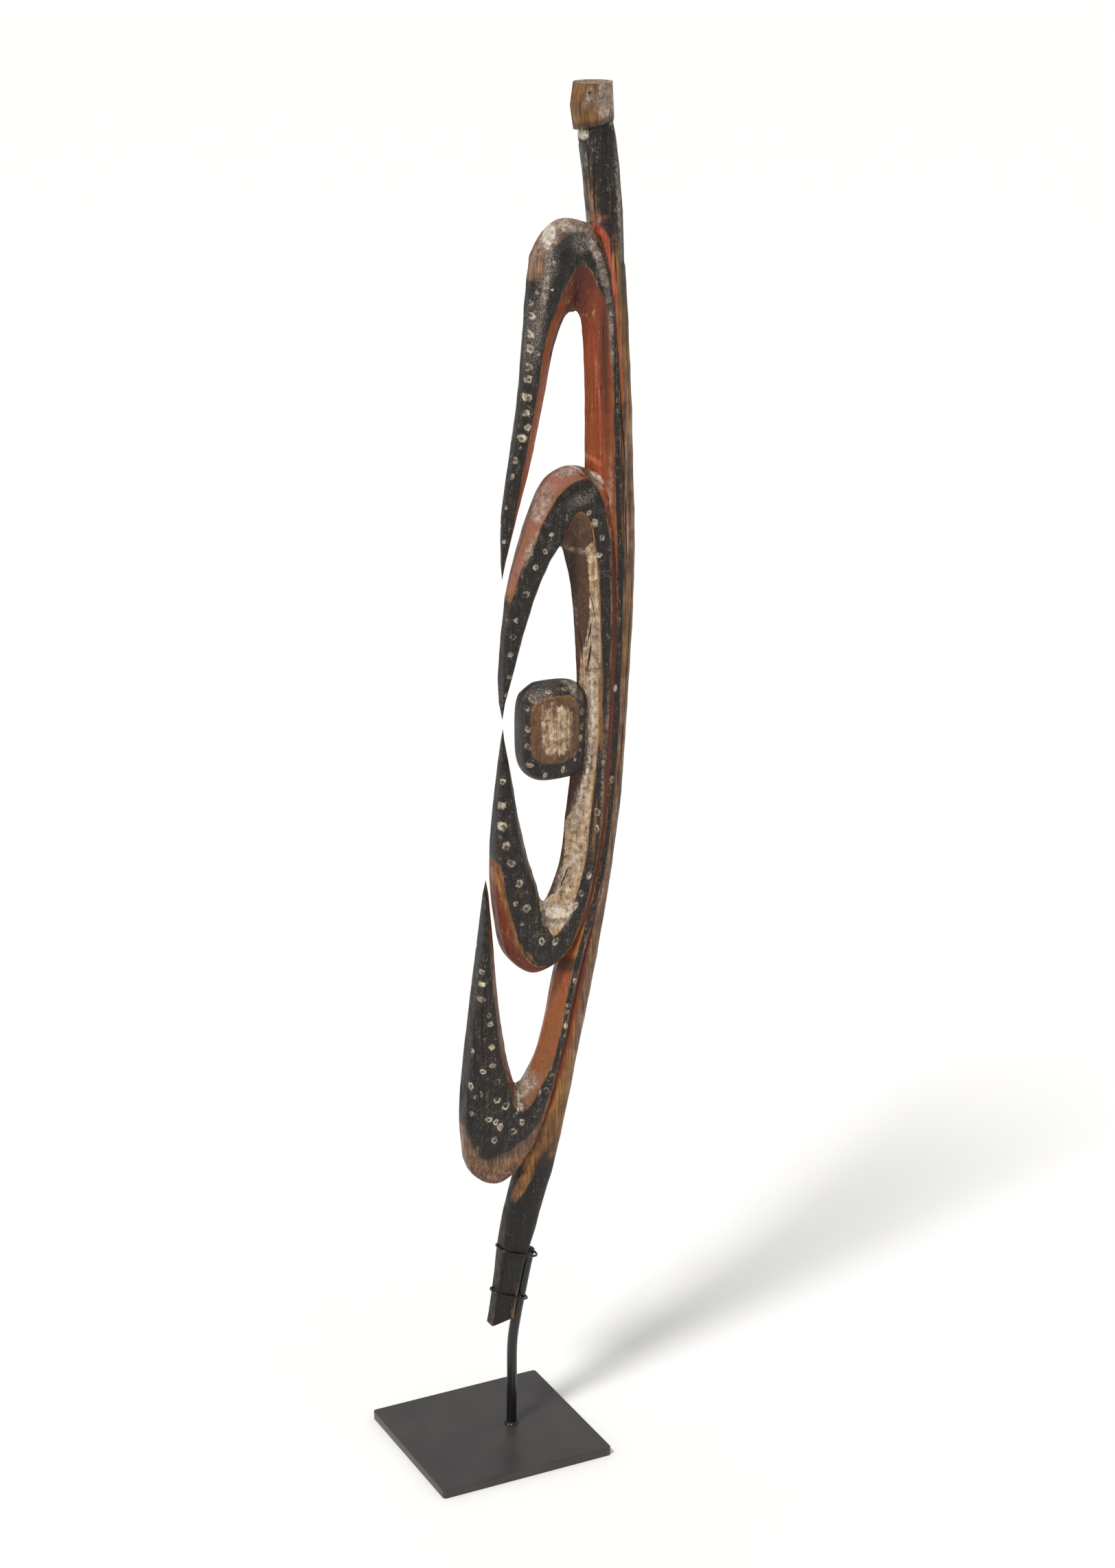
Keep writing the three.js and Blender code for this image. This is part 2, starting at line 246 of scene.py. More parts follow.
# A band from its upper hook's tip to its lower hook's tip: outer edge x and z, inner edge x and z, half depth
outerBand = np.array([
    [18.5, 985, 24, 985, 3.5], [19.7, 1030, 37, 1030, 9], [29, 1085, 52.5, 1083, 12],
    [38.4, 1142, 65.5, 1139, 14], [44.9, 1205, 81, 1205, 16], [48.6, 1252, 93, 1228, 18.5],
    [58.5, 1299, 99.5, 1229, 20.5], [85, 1320.5, 101, 1229.5, 22], [118, 1313, 102.5, 1229, 22.5],
    [134, 1275, 106, 1223, 23], [140, 1220, 109, 1198, 23.5], [145, 1150, 111, 1148, 24],
    [149, 1060, 112, 1060, 24], [150, 960, 122, 960, 24], [147.5, 850, 123, 850, 23.5],
    [142, 735, 117, 735, 23], [128, 625, 101, 628, 22.5], [112, 562, 84, 555, 22], [97, 500, 71, 501, 21.5],
    [84, 447, 55.5, 447, 21.5], [69, 393, 42, 422, 21.5], [47, 337, 34, 418, 21], [10, 306, 32, 417, 20.5],
    [-21, 322, 30, 419, 20.5], [-31, 372, 27.5, 427, 21], [-28.5, 428, 22, 449, 21],
    [-22, 482, 16, 486, 19.5], [-15.5, 535, 10.5, 537, 15.5], [-8.5, 588, 6.5, 589, 10.5],
    [-4, 635, 2, 635, 3.5],
])
innerBand = np.array([
    [16.5, 838, 22.5, 838, 4], [17, 872, 33, 871, 10], [20.5, 915, 45.5, 914, 14.5],
    [27.5, 957, 60.5, 954, 18], [39, 998, 74, 981, 20.5], [53, 1035, 81.5, 990.5, 21.5],
    [72, 1066, 83.5, 992.5, 22], [101, 1075, 85, 993, 22.5], [128, 1062, 87, 989.5, 23.5],
    [139, 1022, 90.5, 976, 24.5], [143, 975, 95.5, 953, 25.5], [144, 912, 100, 908, 25.5],
    [142.5, 845, 103, 850, 25.5], [139, 780, 99.5, 785, 25.5], [132, 706, 90.5, 711, 25.5],
    [121, 645, 84, 661, 25], [107, 592, 74, 632, 24], [86, 555, 67.5, 619.5, 23], [50, 540, 65, 617, 22],
    [22, 562, 62, 620, 22], [10, 607, 58, 635, 21.5], [6, 660, 48.5, 664, 19.5], [8, 708, 38, 709, 16],
    [13.5, 762, 28.5, 762, 9.5], [17.5, 797, 21.5, 797, 3],
])
outerTips = ((19.5, 966), (-1, 651))
innerTips = ((19, 820), (19.5, 811))

# Cut across a band, front half: share of the inner wall, share of what is left beyond it, share of the half depth;
# first where the outer side is rounded, then where the face stays flat up to the outer edge
bandSection = np.array([[0, 0, 0], [0.5, 0, 0.58], [1, 0, 0.96], [1, 0.4, 1], [1, 0.78, 0.82], [1, 1, 0.36]])
flatSection = np.array([[0, 0, 0], [0.5, 0, 0.58], [1, 0, 0.96], [1, 0.86, 1], [1, 0.95, 0.92], [1, 1, 0.66]])
bandSectionSteps = (9, 8, 5, 5, 5)   # faces along each stretch of that cut
outerFaceSteps = 6

# Wall and paint along each band, by station number. Shares of the width: how far the inner wall reaches, the
# outer limit of the black, the start of the lime. wallTo is the share of the wall that keeps its
# own colour. The tones are places on the red ramp.
outerBandPaint = {
    "flat": ([0, 5, 6.5, 9, 16, 20, 23, 24.2, 29], [0, 0, 0.1, 0.2, 0.2, 0, 0, 0.3, 0.3]),
    "wall": ([0.8, 1.8, 2.5, 4, 4.7, 5.3, 6.5, 7.3, 8.5, 9.6, 10.8, 12, 13.4, 14.4, 15.5, 17, 17.9, 18.3, 19.1,
              19.7, 20.3, 21.1, 22.2, 24.2, 25.7, 26.4, 27, 28],
             [.37, .57, .58, .57, .47, .42, .43, .55, .41, .59, .63, .6, .55, .5, .54, .3, .32, .4, .46,
              .33, .3, .27, .19, .18, .33, .35, .45, .6]),
    "wallTo": ([0, 4, 5.5, 21, 22.2, 23, 24, 29], [.8, .9, 1, 1, 1, .9, .8, .8]),
    "blackTo": ([0, 4.8, 5.4, 6.6, 7.5, 8.5, 9.7, 10.5, 11.5, 12.5, 13.4, 14.4, 15.5, 16, 17.5, 18.6, 19.2,
                 19.7, 20.3, 20.8, 21.7, 22.5, 23, 23.7, 24.2, 24.5],
                [1.4, 1.4, .9, .88, .9, .84, .87, .88, .8, .82, .86, .89, .88, .7, .58, .62, .66,
                 .77, .75, .68, .58, .66, .8, .93, 1.02, 1.4]),
    "wallTone": ([0, 3, 5, 7, 9, 12, 17, 18, 21, 22, 24, 29], [.5, .56, .4, .12, .36, .42, .5, .62, .72, .88, .76, .78]),
    "limeFrom": ([0, 29], [2, 2]),
    "rimRed": ([0, 7.6, 8.2, 19.6, 20.4, 29], [0, 0, 1, 1, 0, 0]),
    "rimTone": ([0, 8, 10, 29], [.3, .25, .08, .08]),
}
innerBandPaint = {
    "flat": ([0, 0.6, 1.6, 9, 10, 16, 18, 21, 24], [1, 1, 0.1, 0.1, 0.3, 0.3, 0, 0.3, 0.3]),
    "wall": ([0, 2, 4, 5, 6, 7, 7.35, 7.8, 9, 10.5, 12, 14, 15, 16, 17, 17.4, 18, 19, 20, 22, 24],
             [.4, .33, .3, .27, .3, .46, .5, .46, .45, .42, .41, .41, .44, .43, .44, .47, .36, .28, .28, .33, .4]),
    "wallTo": ([0, 6, 7, 17.6, 18.6, 24], [.3, .35, 1, 1, .35, .3]),
    "blackTo": ([2.3, 2.7, 3, 3.5, 4, 4.6, 5.5, 6.3, 7, 7.5, 8, 8.6, 9.3, 10, 11, 12, 12.7, 13.3, 14, 15, 16,
                 17, 17.5, 18.2, 19.2, 20, 20.6, 21.2, 21.7],
                [1.4, 1.02, .95, .94, .88, .85, .8, .83, .88, .87, .8, .77, .78, .72, .69, .66, .64, .68, .73, .78, .78,
                 .88, .89, .86, .78, .81, .86, .95, 1.4]),
    "wallTone": ([0, 8, 8.6, 12, 13, 17, 18, 24], [.8, .82, .86, .87, .86, .85, .9, .8]),
    "limeFrom": ([8.4, 8.8, 10, 10.8, 11.8, 12.7, 13, 13.6, 14.2, 15, 16, 17, 18, 18.4],
                 [2, .3, .27, .23, .05, .05, .28, .22, 0, .08, .1, 0, 0, 2]),
    "rimRed": ([0, 24], [1, 1]),
    "rimTone": ([0, 6, 7.2, 8.5, 9.5, 16, 18, 22, 24], [1.04, 1.04, .96, .3, .12, .2, .27, .28, .28]),
}

knob = {"x": 75.5, "z": 802.5, "halfWidth": 38, "halfHeight": 51.5, "squareness": 3.7, "sides": 112, "fall": 0.25,
        "paint": (69, 809), "ring": (27, 34), "core": (16.5, 25)}   # half sizes of the brown ring and the pale core
knobProfile = ([0, 0.3, 0.58, 0.62, 0.7, 0.88, 0.97, 1.0, 1.0], [25, 24.9, 24.6, 23.6, 22.6, 19.8, 13, 5, 0])

head = {"sides": 8, "turn": radians(35), "around": 96, "hollow": 2.5}
headStations = np.array([[120.5, 1450.5, 21, 0], [119.5, 1430, 23, 0.05], [121.5, 1411, 21.5, 0.26], [122, 1409, 15, 0.26]])
footCut = ((3, 139.5), (30, 144.5))


def evenStations(line, count):
    # Station numbers that lie an even distance apart along a fine line through all the stations
    run = runOf(line(np.linspace(0, count - 1, 4000)))
    rings = ceil(run[-1] / carving["step"])
    return np.interp(np.linspace(0, run[-1], rings), run, np.linspace(0, count - 1, 4000))


def inPlane(points, depth):
    # x and z pairs and a depth each, as points in space
    return np.stack([points[..., 0], depth, points[..., 1]], -1)


# Flat adze cuts on the near side: x, z, direction of the cut face, how far it reaches, how deep it goes
cuts = np.array([
    [66, 1302, -0.38, -0.86, 0.34, 34, 3.6], [50, 1298, -0.7, -0.62, 0.36, 30, 1.8], [90, 1318, -0.04, -0.6, 0.8, 38, 2.4],
    [116, 1302, 0.3, -0.7, 0.65, 28, 2.4], [42, 1258, -0.78, -0.62, 0.1, 36, 2], [92, 1280, 0.05, -0.96, 0.28, 26, 2.4],
    [60, 1048, -0.55, -0.66, 0.52, 34, 2.8], [94, 1070, -0.06, -0.45, 0.89, 30, 2.4], [38, 1003, -0.8, -0.58, 0.16, 36, 2],
    [120, 1056, 0.3, -0.7, 0.65, 24, 2], [-26, 338, -0.5, -0.75, -0.4, 32, 2.2], [6, 310, -0.02, -0.3, -0.95, 28, 2.6],
    [38, 326, 0.5, -0.4, -0.77, 26, 2], [28, 556, -0.35, -0.8, -0.5, 34, 2], [72, 548, 0.25, -0.4, -0.88, 28, 2],
    [5, 618, -0.86, -0.5, -0.1, 40, 1.8], [139, 1332, 0.72, -0.69, 0.02, 60, 2.4], [108, 1350, -0.8, -0.6, 0, 50, 2.2],
    [50, 846, -0.5, -0.55, 0.67, 22, 2.2], [97, 846, 0.3, -0.6, 0.74, 22, 1.8], [50, 758, -0.55, -0.5, -0.67, 24, 2.2],
    [94, 760, 0.4, -0.55, -0.73, 24, 2], [100, 1432, -0.72, -0.68, -0.1, 26, 2], [122, 1430, 0.2, -0.98, 0.04, 24, 1.2],
    [102, 1416, -0.7, -0.55, -0.45, 18, 2], [140, 1432, 0.86, -0.5, 0.05, 22, 1.6],
])
farCutShift = np.array([2, -9, 0.05, 0, 0.05, 0, -0.4])


def cutFlat(points, rows, side):
    # Whatever stands proud of a cut's plane is pressed back to it; the plane lies a set depth under the highest point
    for x, z, nx, ny, nz, reach, depth in rows:
        away = np.hypot(points[:, 0] - x, points[:, 2] - z)
        near = (away < reach) & (points[:, 1] * side > -1)
        normal = np.array([nx, -ny * side, nz])
        height = points[near] @ (normal / np.linalg.norm(normal))
        proud = np.maximum(height - height.max() + depth, 0) * np.clip((reach - away[near]) / 4, 0, 1)
        points[near] -= proud[:, None] * normal / np.linalg.norm(normal)
    return points


def carve(grid, run, seed):
    # Moves each point inwards by the adze marks' depth, less where the section is thin
    girth = np.cumsum(np.linalg.norm(grid - np.roll(grid, 1, axis=1), axis=2), axis=1)
    marks = adzeMarks(run[:, None] + 0 * girth, girth, carving["adzeLength"], carving["adzeWidth"], seed)
    thick = np.clip(np.abs(np.ptp(grid[:, :, 1], axis=1)) / 30, 0.1, 1)[:, None]
    return grid + outwardNormals(grid) * ((marks - 0.75) * carving["adzeDepth"] * thick)[..., None]


def bandShell(name, rows, tips, paint, seed):
    # A ruled band: every ring runs from the inner edge to the outer edge, wall, crest and outer face in turn
    at = evenStations(lambda s: curveThrough(rows[:, 2:4], s) * 0.35 + curveThrough(rows[:, 0:2], s) * 0.65, len(rows))
    inner, outer = curveThrough(rows[:, 2:4], at), curveThrough(rows[:, 0:2], at)
    stations = np.arange(len(rows))
    depth = eased(np.interp(at, stations, rows[:, 4]), 30)
    wallShare = eased(np.interp(at, *paint["wall"]), 4)
    q = np.concatenate([[0]] + [i + np.arange(1, n + 1) / n for i, n in enumerate(bandSectionSteps)])
    corner = np.arange(len(bandSection))
    flat = eased(np.interp(at, *paint["flat"]), 6)[:, None, None]
    section = np.stack([np.stack([np.interp(q, corner, cut[:, c]) for c in range(3)], -1)
                        for cut in (bandSection, flatSection)])
    section = section[:1] * (1 - flat) + section[1:] * flat
    wall, beyond, deep = np.moveaxis(section, -1, 0)
    share = wall * wallShare[:, None] + beyond * (1 - wallShare[:, None])
    front = -deep * depth[:, None]
    face = front[:, -1:] * np.linspace(1, -1, outerFaceSteps + 1)[1:-1]
    share = np.hstack([share, np.ones(face.shape), share[:, :0:-1]])
    level = np.hstack([front, face, -front[:, :0:-1]])
    line = inner[:, None] + (outer - inner)[:, None] * share[..., None]
    grid = inPlane(line, level)
    grid[:, 1:] = eased(grid.transpose(1, 0, 2), 1).transpose(1, 0, 2)[:, 1:]

    run = runOf(inner * 0.35 + outer * 0.65)
    width = np.linalg.norm(outer - inner, axis=1)[:, None]
    along = {key: np.interp(at, *table)[:, None] for key, table in paint.items()}
    across = share * width
    wallIn = wallShare[:, None] * width - across
    rimIn = across - along["blackTo"] * width
    paintIn = wallIn - (1 - along["wallTo"]) * wallShare[:, None] * width
    black = np.minimum(-paintIn, -rimIn)
    red = np.where(paintIn > rimIn, paintIn, np.where(along["rimRed"] > 0.5, rimIn, carving["noCoat"]))
    lime = np.where(along["limeFrom"] < 1, np.minimum(paintIn, across - along["limeFrom"] * width), carving["noCoat"])
    tone = np.where(paintIn > rimIn, along["wallTone"], along["rimTone"])
    none = np.zeros_like(share)
    fields = {
        "coats": np.stack([black, red + none, lime + none], -1),
        "tints": np.stack([none + carving["noCoat"], tone + none, np.where(along["rimRed"] + none > 0.5, 0.4, 2.5)], -1),
    }
    grid = carve(grid[:, ::-1], run, seed)
    first, last = (np.array([x, 0, z], float) for x, z in tips)
    return closedMesh(name, grid, first, last, {key: value[:, ::-1] for key, value in fields.items()})


def bowShell():
    # Squarish sections, |x|^p + |y|^p = 1, square to the centre line; the last ring lies in the slanting foot cut
    rows = backBow
    at = evenStations(lambda s: curveThrough(rows[:, 0:2], s), len(rows))
    stations = np.arange(len(rows))
    centre = curveThrough(rows[:, 0:2], at)
    tangent = np.gradient(centre, axis=0)
    tangent /= np.linalg.norm(tangent, axis=1, keepdims=True)
    outwards = np.stack([-tangent[:, 1], tangent[:, 0]], -1)   # towards the back of the figure
    halfWidth, halfDepth = (eased(np.interp(at, stations, rows[:, c]), 20) for c in (2, 3))
    angle = 2 * pi * np.arange(carving["bowSides"]) / carving["bowSides"]
    power = np.interp(centre[:, 1], *carving["bowSquareness"])[:, None]
    c, s = (rounded(f(angle)[None], power) for f in (np.cos, np.sin))
    line = centre[:, None] + outwards[:, None] * (halfWidth[:, None] * c)[..., None]
    grid = inPlane(line, halfDepth[:, None] * s)
    run = runOf(centre)
    (x0, z0), (x1, z1) = footCut
    above = grid[..., 2] - (z0 + (grid[..., 0] - x0) * (z1 - z0) / (x1 - x0))
    kept = int(np.argmax(above.min(axis=1) < 1.5))
    grid, run, c2 = grid[:kept + 1], run[:kept + 1], above[kept - 1]
    fall = -c2 / (tangent[kept, 1] - tangent[kept, 0] * (z1 - z0) / (x1 - x0))
    grid[kept] = grid[kept - 1]
    grid[kept, :, 0] += tangent[kept, 0] * fall
    grid[kept, :, 2] += tangent[kept, 1] * fall

    z = grid[..., 2]
    none = np.zeros_like(z)
    innerSide = -c[:kept + 1] * halfWidth[:kept + 1, None]
    black = np.interp(z, [120, 290, 325, 350, 400, 460, 520, 1250, 1290, 1335, 1460],
                      [4, 4, 1, -0.8, -2.4, -2.4, -1.6, -1.6, 0.5, 3, 4])
    black = np.maximum(black, -innerSide - np.interp(z, [330, 520], [14, 9.5]))
    redFrom = np.interp(z, [330, 400, 470, 600, 720, 1090, 1160, 1345], [5, 4.5, 2.5, 3, 7, 7, 1, 0])
    red = np.where((z > 330) & (z < 1345), innerSide - redFrom, carving["noCoat"])
    ochre = np.interp(z, [300, 325, 350, 400, 440, 470], [-4, 1, 2, 1.5, 0, -4]) - np.abs(innerSide - 2) * 0.12
    fields = {
        "coats": np.stack([black, red, none + carving["noCoat"]], -1),
        "tints": np.stack([ochre, np.interp(z, [480, 600, 1090, 1160], [0.4, 0.15, 0.15, 0.6]), none + 2.0], -1),
    }
    body = carve(grid[:-1, ::-1], run[:-1], 3.0)
    grid = np.concatenate([body, grid[-1:, ::-1]])
    fields = {key: value[:, ::-1] for key, value in fields.items()}
    return closedMesh("back_bow", grid, inPlane(centre[0], np.zeros(())), grid[-1].mean(0), fields)


def knobShell():
    # One rounded-square outline, |x|^p + |z|^p = 1, scaled by the profile from the front's middle to the back's
    s = knob
    share, depth = knobProfile
    q = runOf(np.stack([np.array(share) * s["halfWidth"], depth], -1))
    fine = np.linspace(0, q[-1], 34)[1:]
    share, depth = eased(np.interp(fine, q, share), 2), eased(np.interp(fine, q, depth), 2)
    share, depth = np.concatenate([share, share[-2::-1]]), np.concatenate([-depth, depth[-2::-1]])
    angle = -2 * pi * np.arange(s["sides"]) / s["sides"]
    c, n = (rounded(f(angle), s["squareness"]) for f in (np.cos, np.sin))
    x = s["x"] + s["halfWidth"] * share[:, None] * c[None]
    z = s["z"] + s["halfHeight"] * share[:, None] * n[None]
    fall = 1 - s["fall"] * np.clip((x - s["x"]) / s["halfWidth"], 0, 1)   # lower where it meets the bend
    grid = np.stack([x, depth[:, None] * fall, z], -1)
    none = 0 * x
    ring, core = (
        (1 - (np.abs((x - s["paint"][0]) / w)**s["squareness"] + np.abs((z - s["paint"][1]) / h)**s["squareness"])
         ** (1 / s["squareness"])) * w for w, h in (s["ring"], s["core"])
    )
    fields = {
        "coats": np.stack([-ring, ring, np.minimum(core * 0.3, 1)], -1),
        "tints": np.stack([none + carving["noCoat"], none + 0.79, none + 1.2], -1),
    }
    crown = knobProfile[1][0]
    grid = carve(grid, runOf(np.stack([share * 40, depth], -1)), 11.0)
    ends = [np.array([s["x"], y, s["z"]]) for y in (-crown, crown)]
    return closedMesh("knob", grid, *ends, fields)


def headShell():
    # Eight flat sides: the radius is that of an octagon in each direction; rings go up from the middle of the
    # underside, round the drum and in to the hollow top
    s = head
    rows = np.vstack([headStations[0] * [1, 1, 0.86, 1] - [0, s["hollow"] * 0.8, 0, 0], headStations[0], headStations[1:]])
    q = np.array([0, 1, 2, 3, 4])
    fine = np.concatenate([np.linspace(0, 1, 5)[:-1], np.linspace(1, 2, 12)[:-1], np.linspace(2, 3, 12)[:-1], np.linspace(3, 4, 5)])
    x, z, radius, slope = (np.interp(fine, q, rows[:, c]) for c in range(4))
    angle = -2 * pi * np.arange(s["around"]) / s["around"]
    wedge = 2 * pi / s["sides"]
    local = np.mod(angle - s["turn"] + wedge / 2, wedge) - wedge / 2
    octagon = np.cos(wedge / 2) / np.cos(wedge / 2 - np.abs(local))
    reach = radius[:, None] * (octagon * np.cos(angle))[None]
    side = radius[:, None] * (octagon * np.sin(angle))[None]
    grid = np.stack([x[:, None] + reach, side, z[:, None] + slope[:, None] * reach], -1)
    none = 0 * reach
    facing = np.cos(angle)[None] + none
    fields = {
        "coats": np.stack([none + carving["noCoat"]] * 3, -1),
        "tints": np.stack([np.minimum(-facing * 6 - 3.4, 0.6) - (fine < 1)[:, None] * 8, none, none + 0.8], -1),
    }
    top, bottom = headStations[0], headStations[-1]
    return closedMesh("head", grid, [top[0], 0, top[1] - s["hollow"]], [bottom[0], 0, bottom[1] - 1], fields)


def joined(name, shells):
    # The limbs are one piece of wood: their shells are united, so nothing is left inside
    base = bpy.data.objects.new(name, shells[0])
    bpy.context.scene.collection.objects.link(base)
    others = []
    for shell in shells[1:]:
        other = bpy.data.objects.new(shell.name, shell)
        bpy.context.scene.collection.objects.link(other)
        others.append(other)
        union = base.modifiers.new(shell.name, "BOOLEAN")
        union.operation = "UNION"
        union.solver = "EXACT"
        union.object = other
    graph = bpy.context.evaluated_depsgraph_get()
    mesh = bpy.data.meshes.new_from_object(base.evaluated_get(graph))
    mesh.name = name
    for o in [base, *others]:
        bpy.data.objects.remove(o)
    return mesh


# Marks on the near side; the far side has its own, moved by chance. Every row of dabs and places is x, z, half length,
# half width, tilt in degrees from upright towards the back; a dab's last value is how far its ring is filled in
dabsAndGlints = np.array([
    [47.5, 1243, 3.8, 3.5, 0, 0], [48.5, 1231, 3.6, 3.6, 0, 0.1], [46.5, 1213, 4, 3.6, 20, 0.3],
    [47, 1199, 4.4, 3.6, 0, 0.2], [44.5, 1181, 4, 3.6, 0, 0.1], [44.5, 1169, 3.8, 3.2, 0, 0], [43, 1151, 3.9, 3.8, 0, 0.5],
    [41.5, 1136, 3.4, 3, 0, 1], [43, 1122, 3.6, 4, 0, 0.3], [37.5, 1111, 4, 3.8, 0, 0.2], [36, 1101, 2.2, 2, 0, 1],
    [31, 1089, 3.8, 3.8, 0, 0.3], [27.5, 1073, 3.6, 2.6, 10, 1], [22.5, 1071, 3.6, 2, 0, 1], [21.5, 1042, 2.4, 2.2, 0, 1],
    # on the next two lines, the six filled dabs from x 69, z 1282 to x 54, z 1194 are painted glints on the black, not
    # dots of paint
    [20, 1007, 2.4, 1.6, 0, 1], [69, 1282, 2.2, 1.8, 0, 1], [63, 1270, 2, 1.6, 0, 1], [67, 1256, 1.8, 1.6, 0, 1],
    [54, 1253, 2.2, 1.6, 0, 1], [45, 1239, 1.8, 1.4, 0, 1], [54, 1194, 2, 1.6, 0, 1],
    [65, 1013, 2.6, 2.8, 0, 0.7], [58, 996, 2.6, 3.8, 50, 0.2], [48, 981, 3.2, 3.2, 0, 0.3], [38, 953, 3.6, 4, 0, 0.3],
    [20, 927, 3.8, 2.6, 0, 0.6], [29, 927, 3.2, 2.4, 0, 0.6], [26, 910, 3.4, 3, 0, 0], [24, 892, 3.8, 2.8, 20, 0.9],
    [23, 868, 2.6, 3, 0, 0.6], [21, 848, 3, 2, 20, 0.6],
    [106, 1031, 3, 2.6, 30, 0.2], [112, 1020, 5.2, 3.6, 0, 1], [120, 1004, 3.4, 3, 0, 0.2], [117, 987, 3.2, 3.2, 0, 0.3],
    [16, 780, 2.6, 2, 0, 1], [13, 776, 3, 1.8, 0, 1], [15, 757, 3.4, 2.8, 0, 0.2],
    [13, 732, 4.4, 3.8, 30, 1], [12, 711, 5, 4.6, 0, 0.3], [15, 690, 5, 4, 20, 0.2], [20, 671, 4, 5.4, 25, 0.2],
    [28, 648, 5, 3.6, 30, 0.2], [36, 620, 4.6, 5, 0, 0.1], [24, 627, 3, 2.6, 0, 0.3], [53, 581, 4.6, 3.6, 0, 0],
    [69, 578, 4.4, 3.8, 30, 0.1], [30, 604, 2.4, 2, 0, 0.4],
    [115, 714, 5, 3.8, 0, 0.2], [115, 695, 5.4, 2.8, 0, 0.1], [106, 646, 4.6, 3.4, 0, 0.9], [98, 627, 4.2, 3.2, 0, 0.3],
    [92, 529, 4, 2.4, 0, 0.3], [84, 503, 3.2, 3.2, 0, 0.9], [83, 496, 2.6, 2.4, 0, 0.2], [81, 480, 3.4, 2.6, 0, 1],
    [-11, 554, 3, 2.8, 0, 0.6], [-12, 541, 3, 3.4, 0, 1], [-13, 525, 3.8, 3.8, 0, 0.9], [-6, 507, 3.4, 2.6, 0, 0.3],
    [-5, 497, 3.4, 3.8, 0, 0.3], [-23, 488, 4, 3.6, 0, 0.6], [-4, 472, 4, 4.4, 30, 0.7], [-24, 468, 3.4, 3, 0, 0.1],
    [-4, 451, 2.6, 4, 0, 0.3], [-15, 446, 2.8, 3.6, 40, 0.2], [1, 431, 4, 3.8, 30, 0.3], [-26, 429, 5, 2, 0, 0.5],
    [1, 411, 4, 4.4, 0, 0], [11, 402, 4.6, 4.6, 0, 0], [-22, 417, 3.6, 2, 0, 0.6], [-17, 421, 3.6, 1.6, 0, 1],
    [-26, 398, 3, 2.4, 0, 0.6], [-1, 386, 4, 3, 20, 0.2], [4, 379, 4.4, 4, 0, 0.8], [19, 371, 4.2, 4.4, 30, 0.1],
    [30, 379, 4.4, 3.2, 0, 0.1], [22, 389, 3, 2.6, 0, 0.3], [-2, 365, 4.4, 3.4, 0, 0], [-9, 390, 3.4, 4, 0, 0.2],
    [65, 426, 2.8, 3, 0, 0.9], [58, 410, 4, 4.2, 0, 0.1], [51, 409, 4, 1.6, 20, 1], [80, 470, 2.6, 2.2, 0, 1],
    [47, 842, 3.8, 3.6, 0, 0.3], [63, 849.5, 2.2, 3.8, 0, 0.6], [82, 849.5, 2.2, 3.8, 0, 0.6],
    [40.3, 834, 4, 1.9, 0, 0.3], [40, 812, 3.6, 1.9, 0, 0.3], [40.3, 793, 4, 1.9, 0, 0.3], [57, 761, 3.6, 2.4, 0, 0.4], [42, 773, 3, 3, 0, 0.3],
    [77, 766, 4.2, 2.6, 0, 0.3], [100, 823, 3.6, 3.4, 0, 0.4], [100, 807, 4, 2.8, 0, 0.4], [98, 796, 3.4, 2.6, 0, 0.6],
    [97, 783, 2.4, 2.2, 0, 1], [91, 774, 2.6, 2, 0, 1], [55, 1103, 1.8, 1.6, 0, 1], [133, 746, 4.2, 2.6, 0, 0.9],
    [136, 844, 3.6, 2.4, 0, 0.9],
])
# Slits and fissures: x, z, half length, half width, tilt
slitsAndShadeLine = np.array([
    [112, 935, 14, 0.4, -10], [111, 908, 16, 0.45, 7], [105, 894, 14, 0.4, -8], [111, 880, 14, 0.5, 4],
    [-20, 488, 24, 0.7, 2], [-22, 452, 18, 0.9, 3], [-28, 415, 20, 0.6, 0], [-27, 388, 14, 0.5, -4],
    [-14, 485, 26, 0.5, 2], [-24, 400, 22, 0.5, 8], [-9, 372, 16, 0.4, 12], [6, 350, 14, 0.4, 30],
    [112, 1370, 20, 0.6, -6], [107, 1348, 16, 0.5, -6], [116, 1345, 26, 0.5, -4], [124, 1362, 22, 0.4, -6],
    # on the next line, the wide slit at x 118, z 1410 is painted shade under the head, over black paint on its lower
    # edge
    [129, 1320, 30, 0.5, -3], [134, 1290, 34, 0.5, -4], [108, 1442, 1.6, 0.8, 30], [118, 1410, 22, 1.4, 76], [14, 225, 40, 0.5, 7], [24, 205, 45, 0.6, 8], [29, 250, 30, 0.5, 12],
    [8, 180, 24, 0.4, 4], [20, 165, 20, 0.5, 6], [151, 880, 60, 0.6, 3], [146, 790, 50, 0.6, 6],
    [139, 700, 46, 0.6, 9], [148, 1010, 50, 0.5, -2], [143, 1120, 60, 0.6, -5], [62, 1085, 5, 0.6, 60],
    [102, 1068, 10, 0.7, -40], [40, 1016, 16, 0.5, 24], [29, 984, 18, 0.5, 14], [-3, 640, 30, 0.5, -8],
    [11, 590, 26, 0.5, -24], [84, 640, 14, 0.3, 22],
])
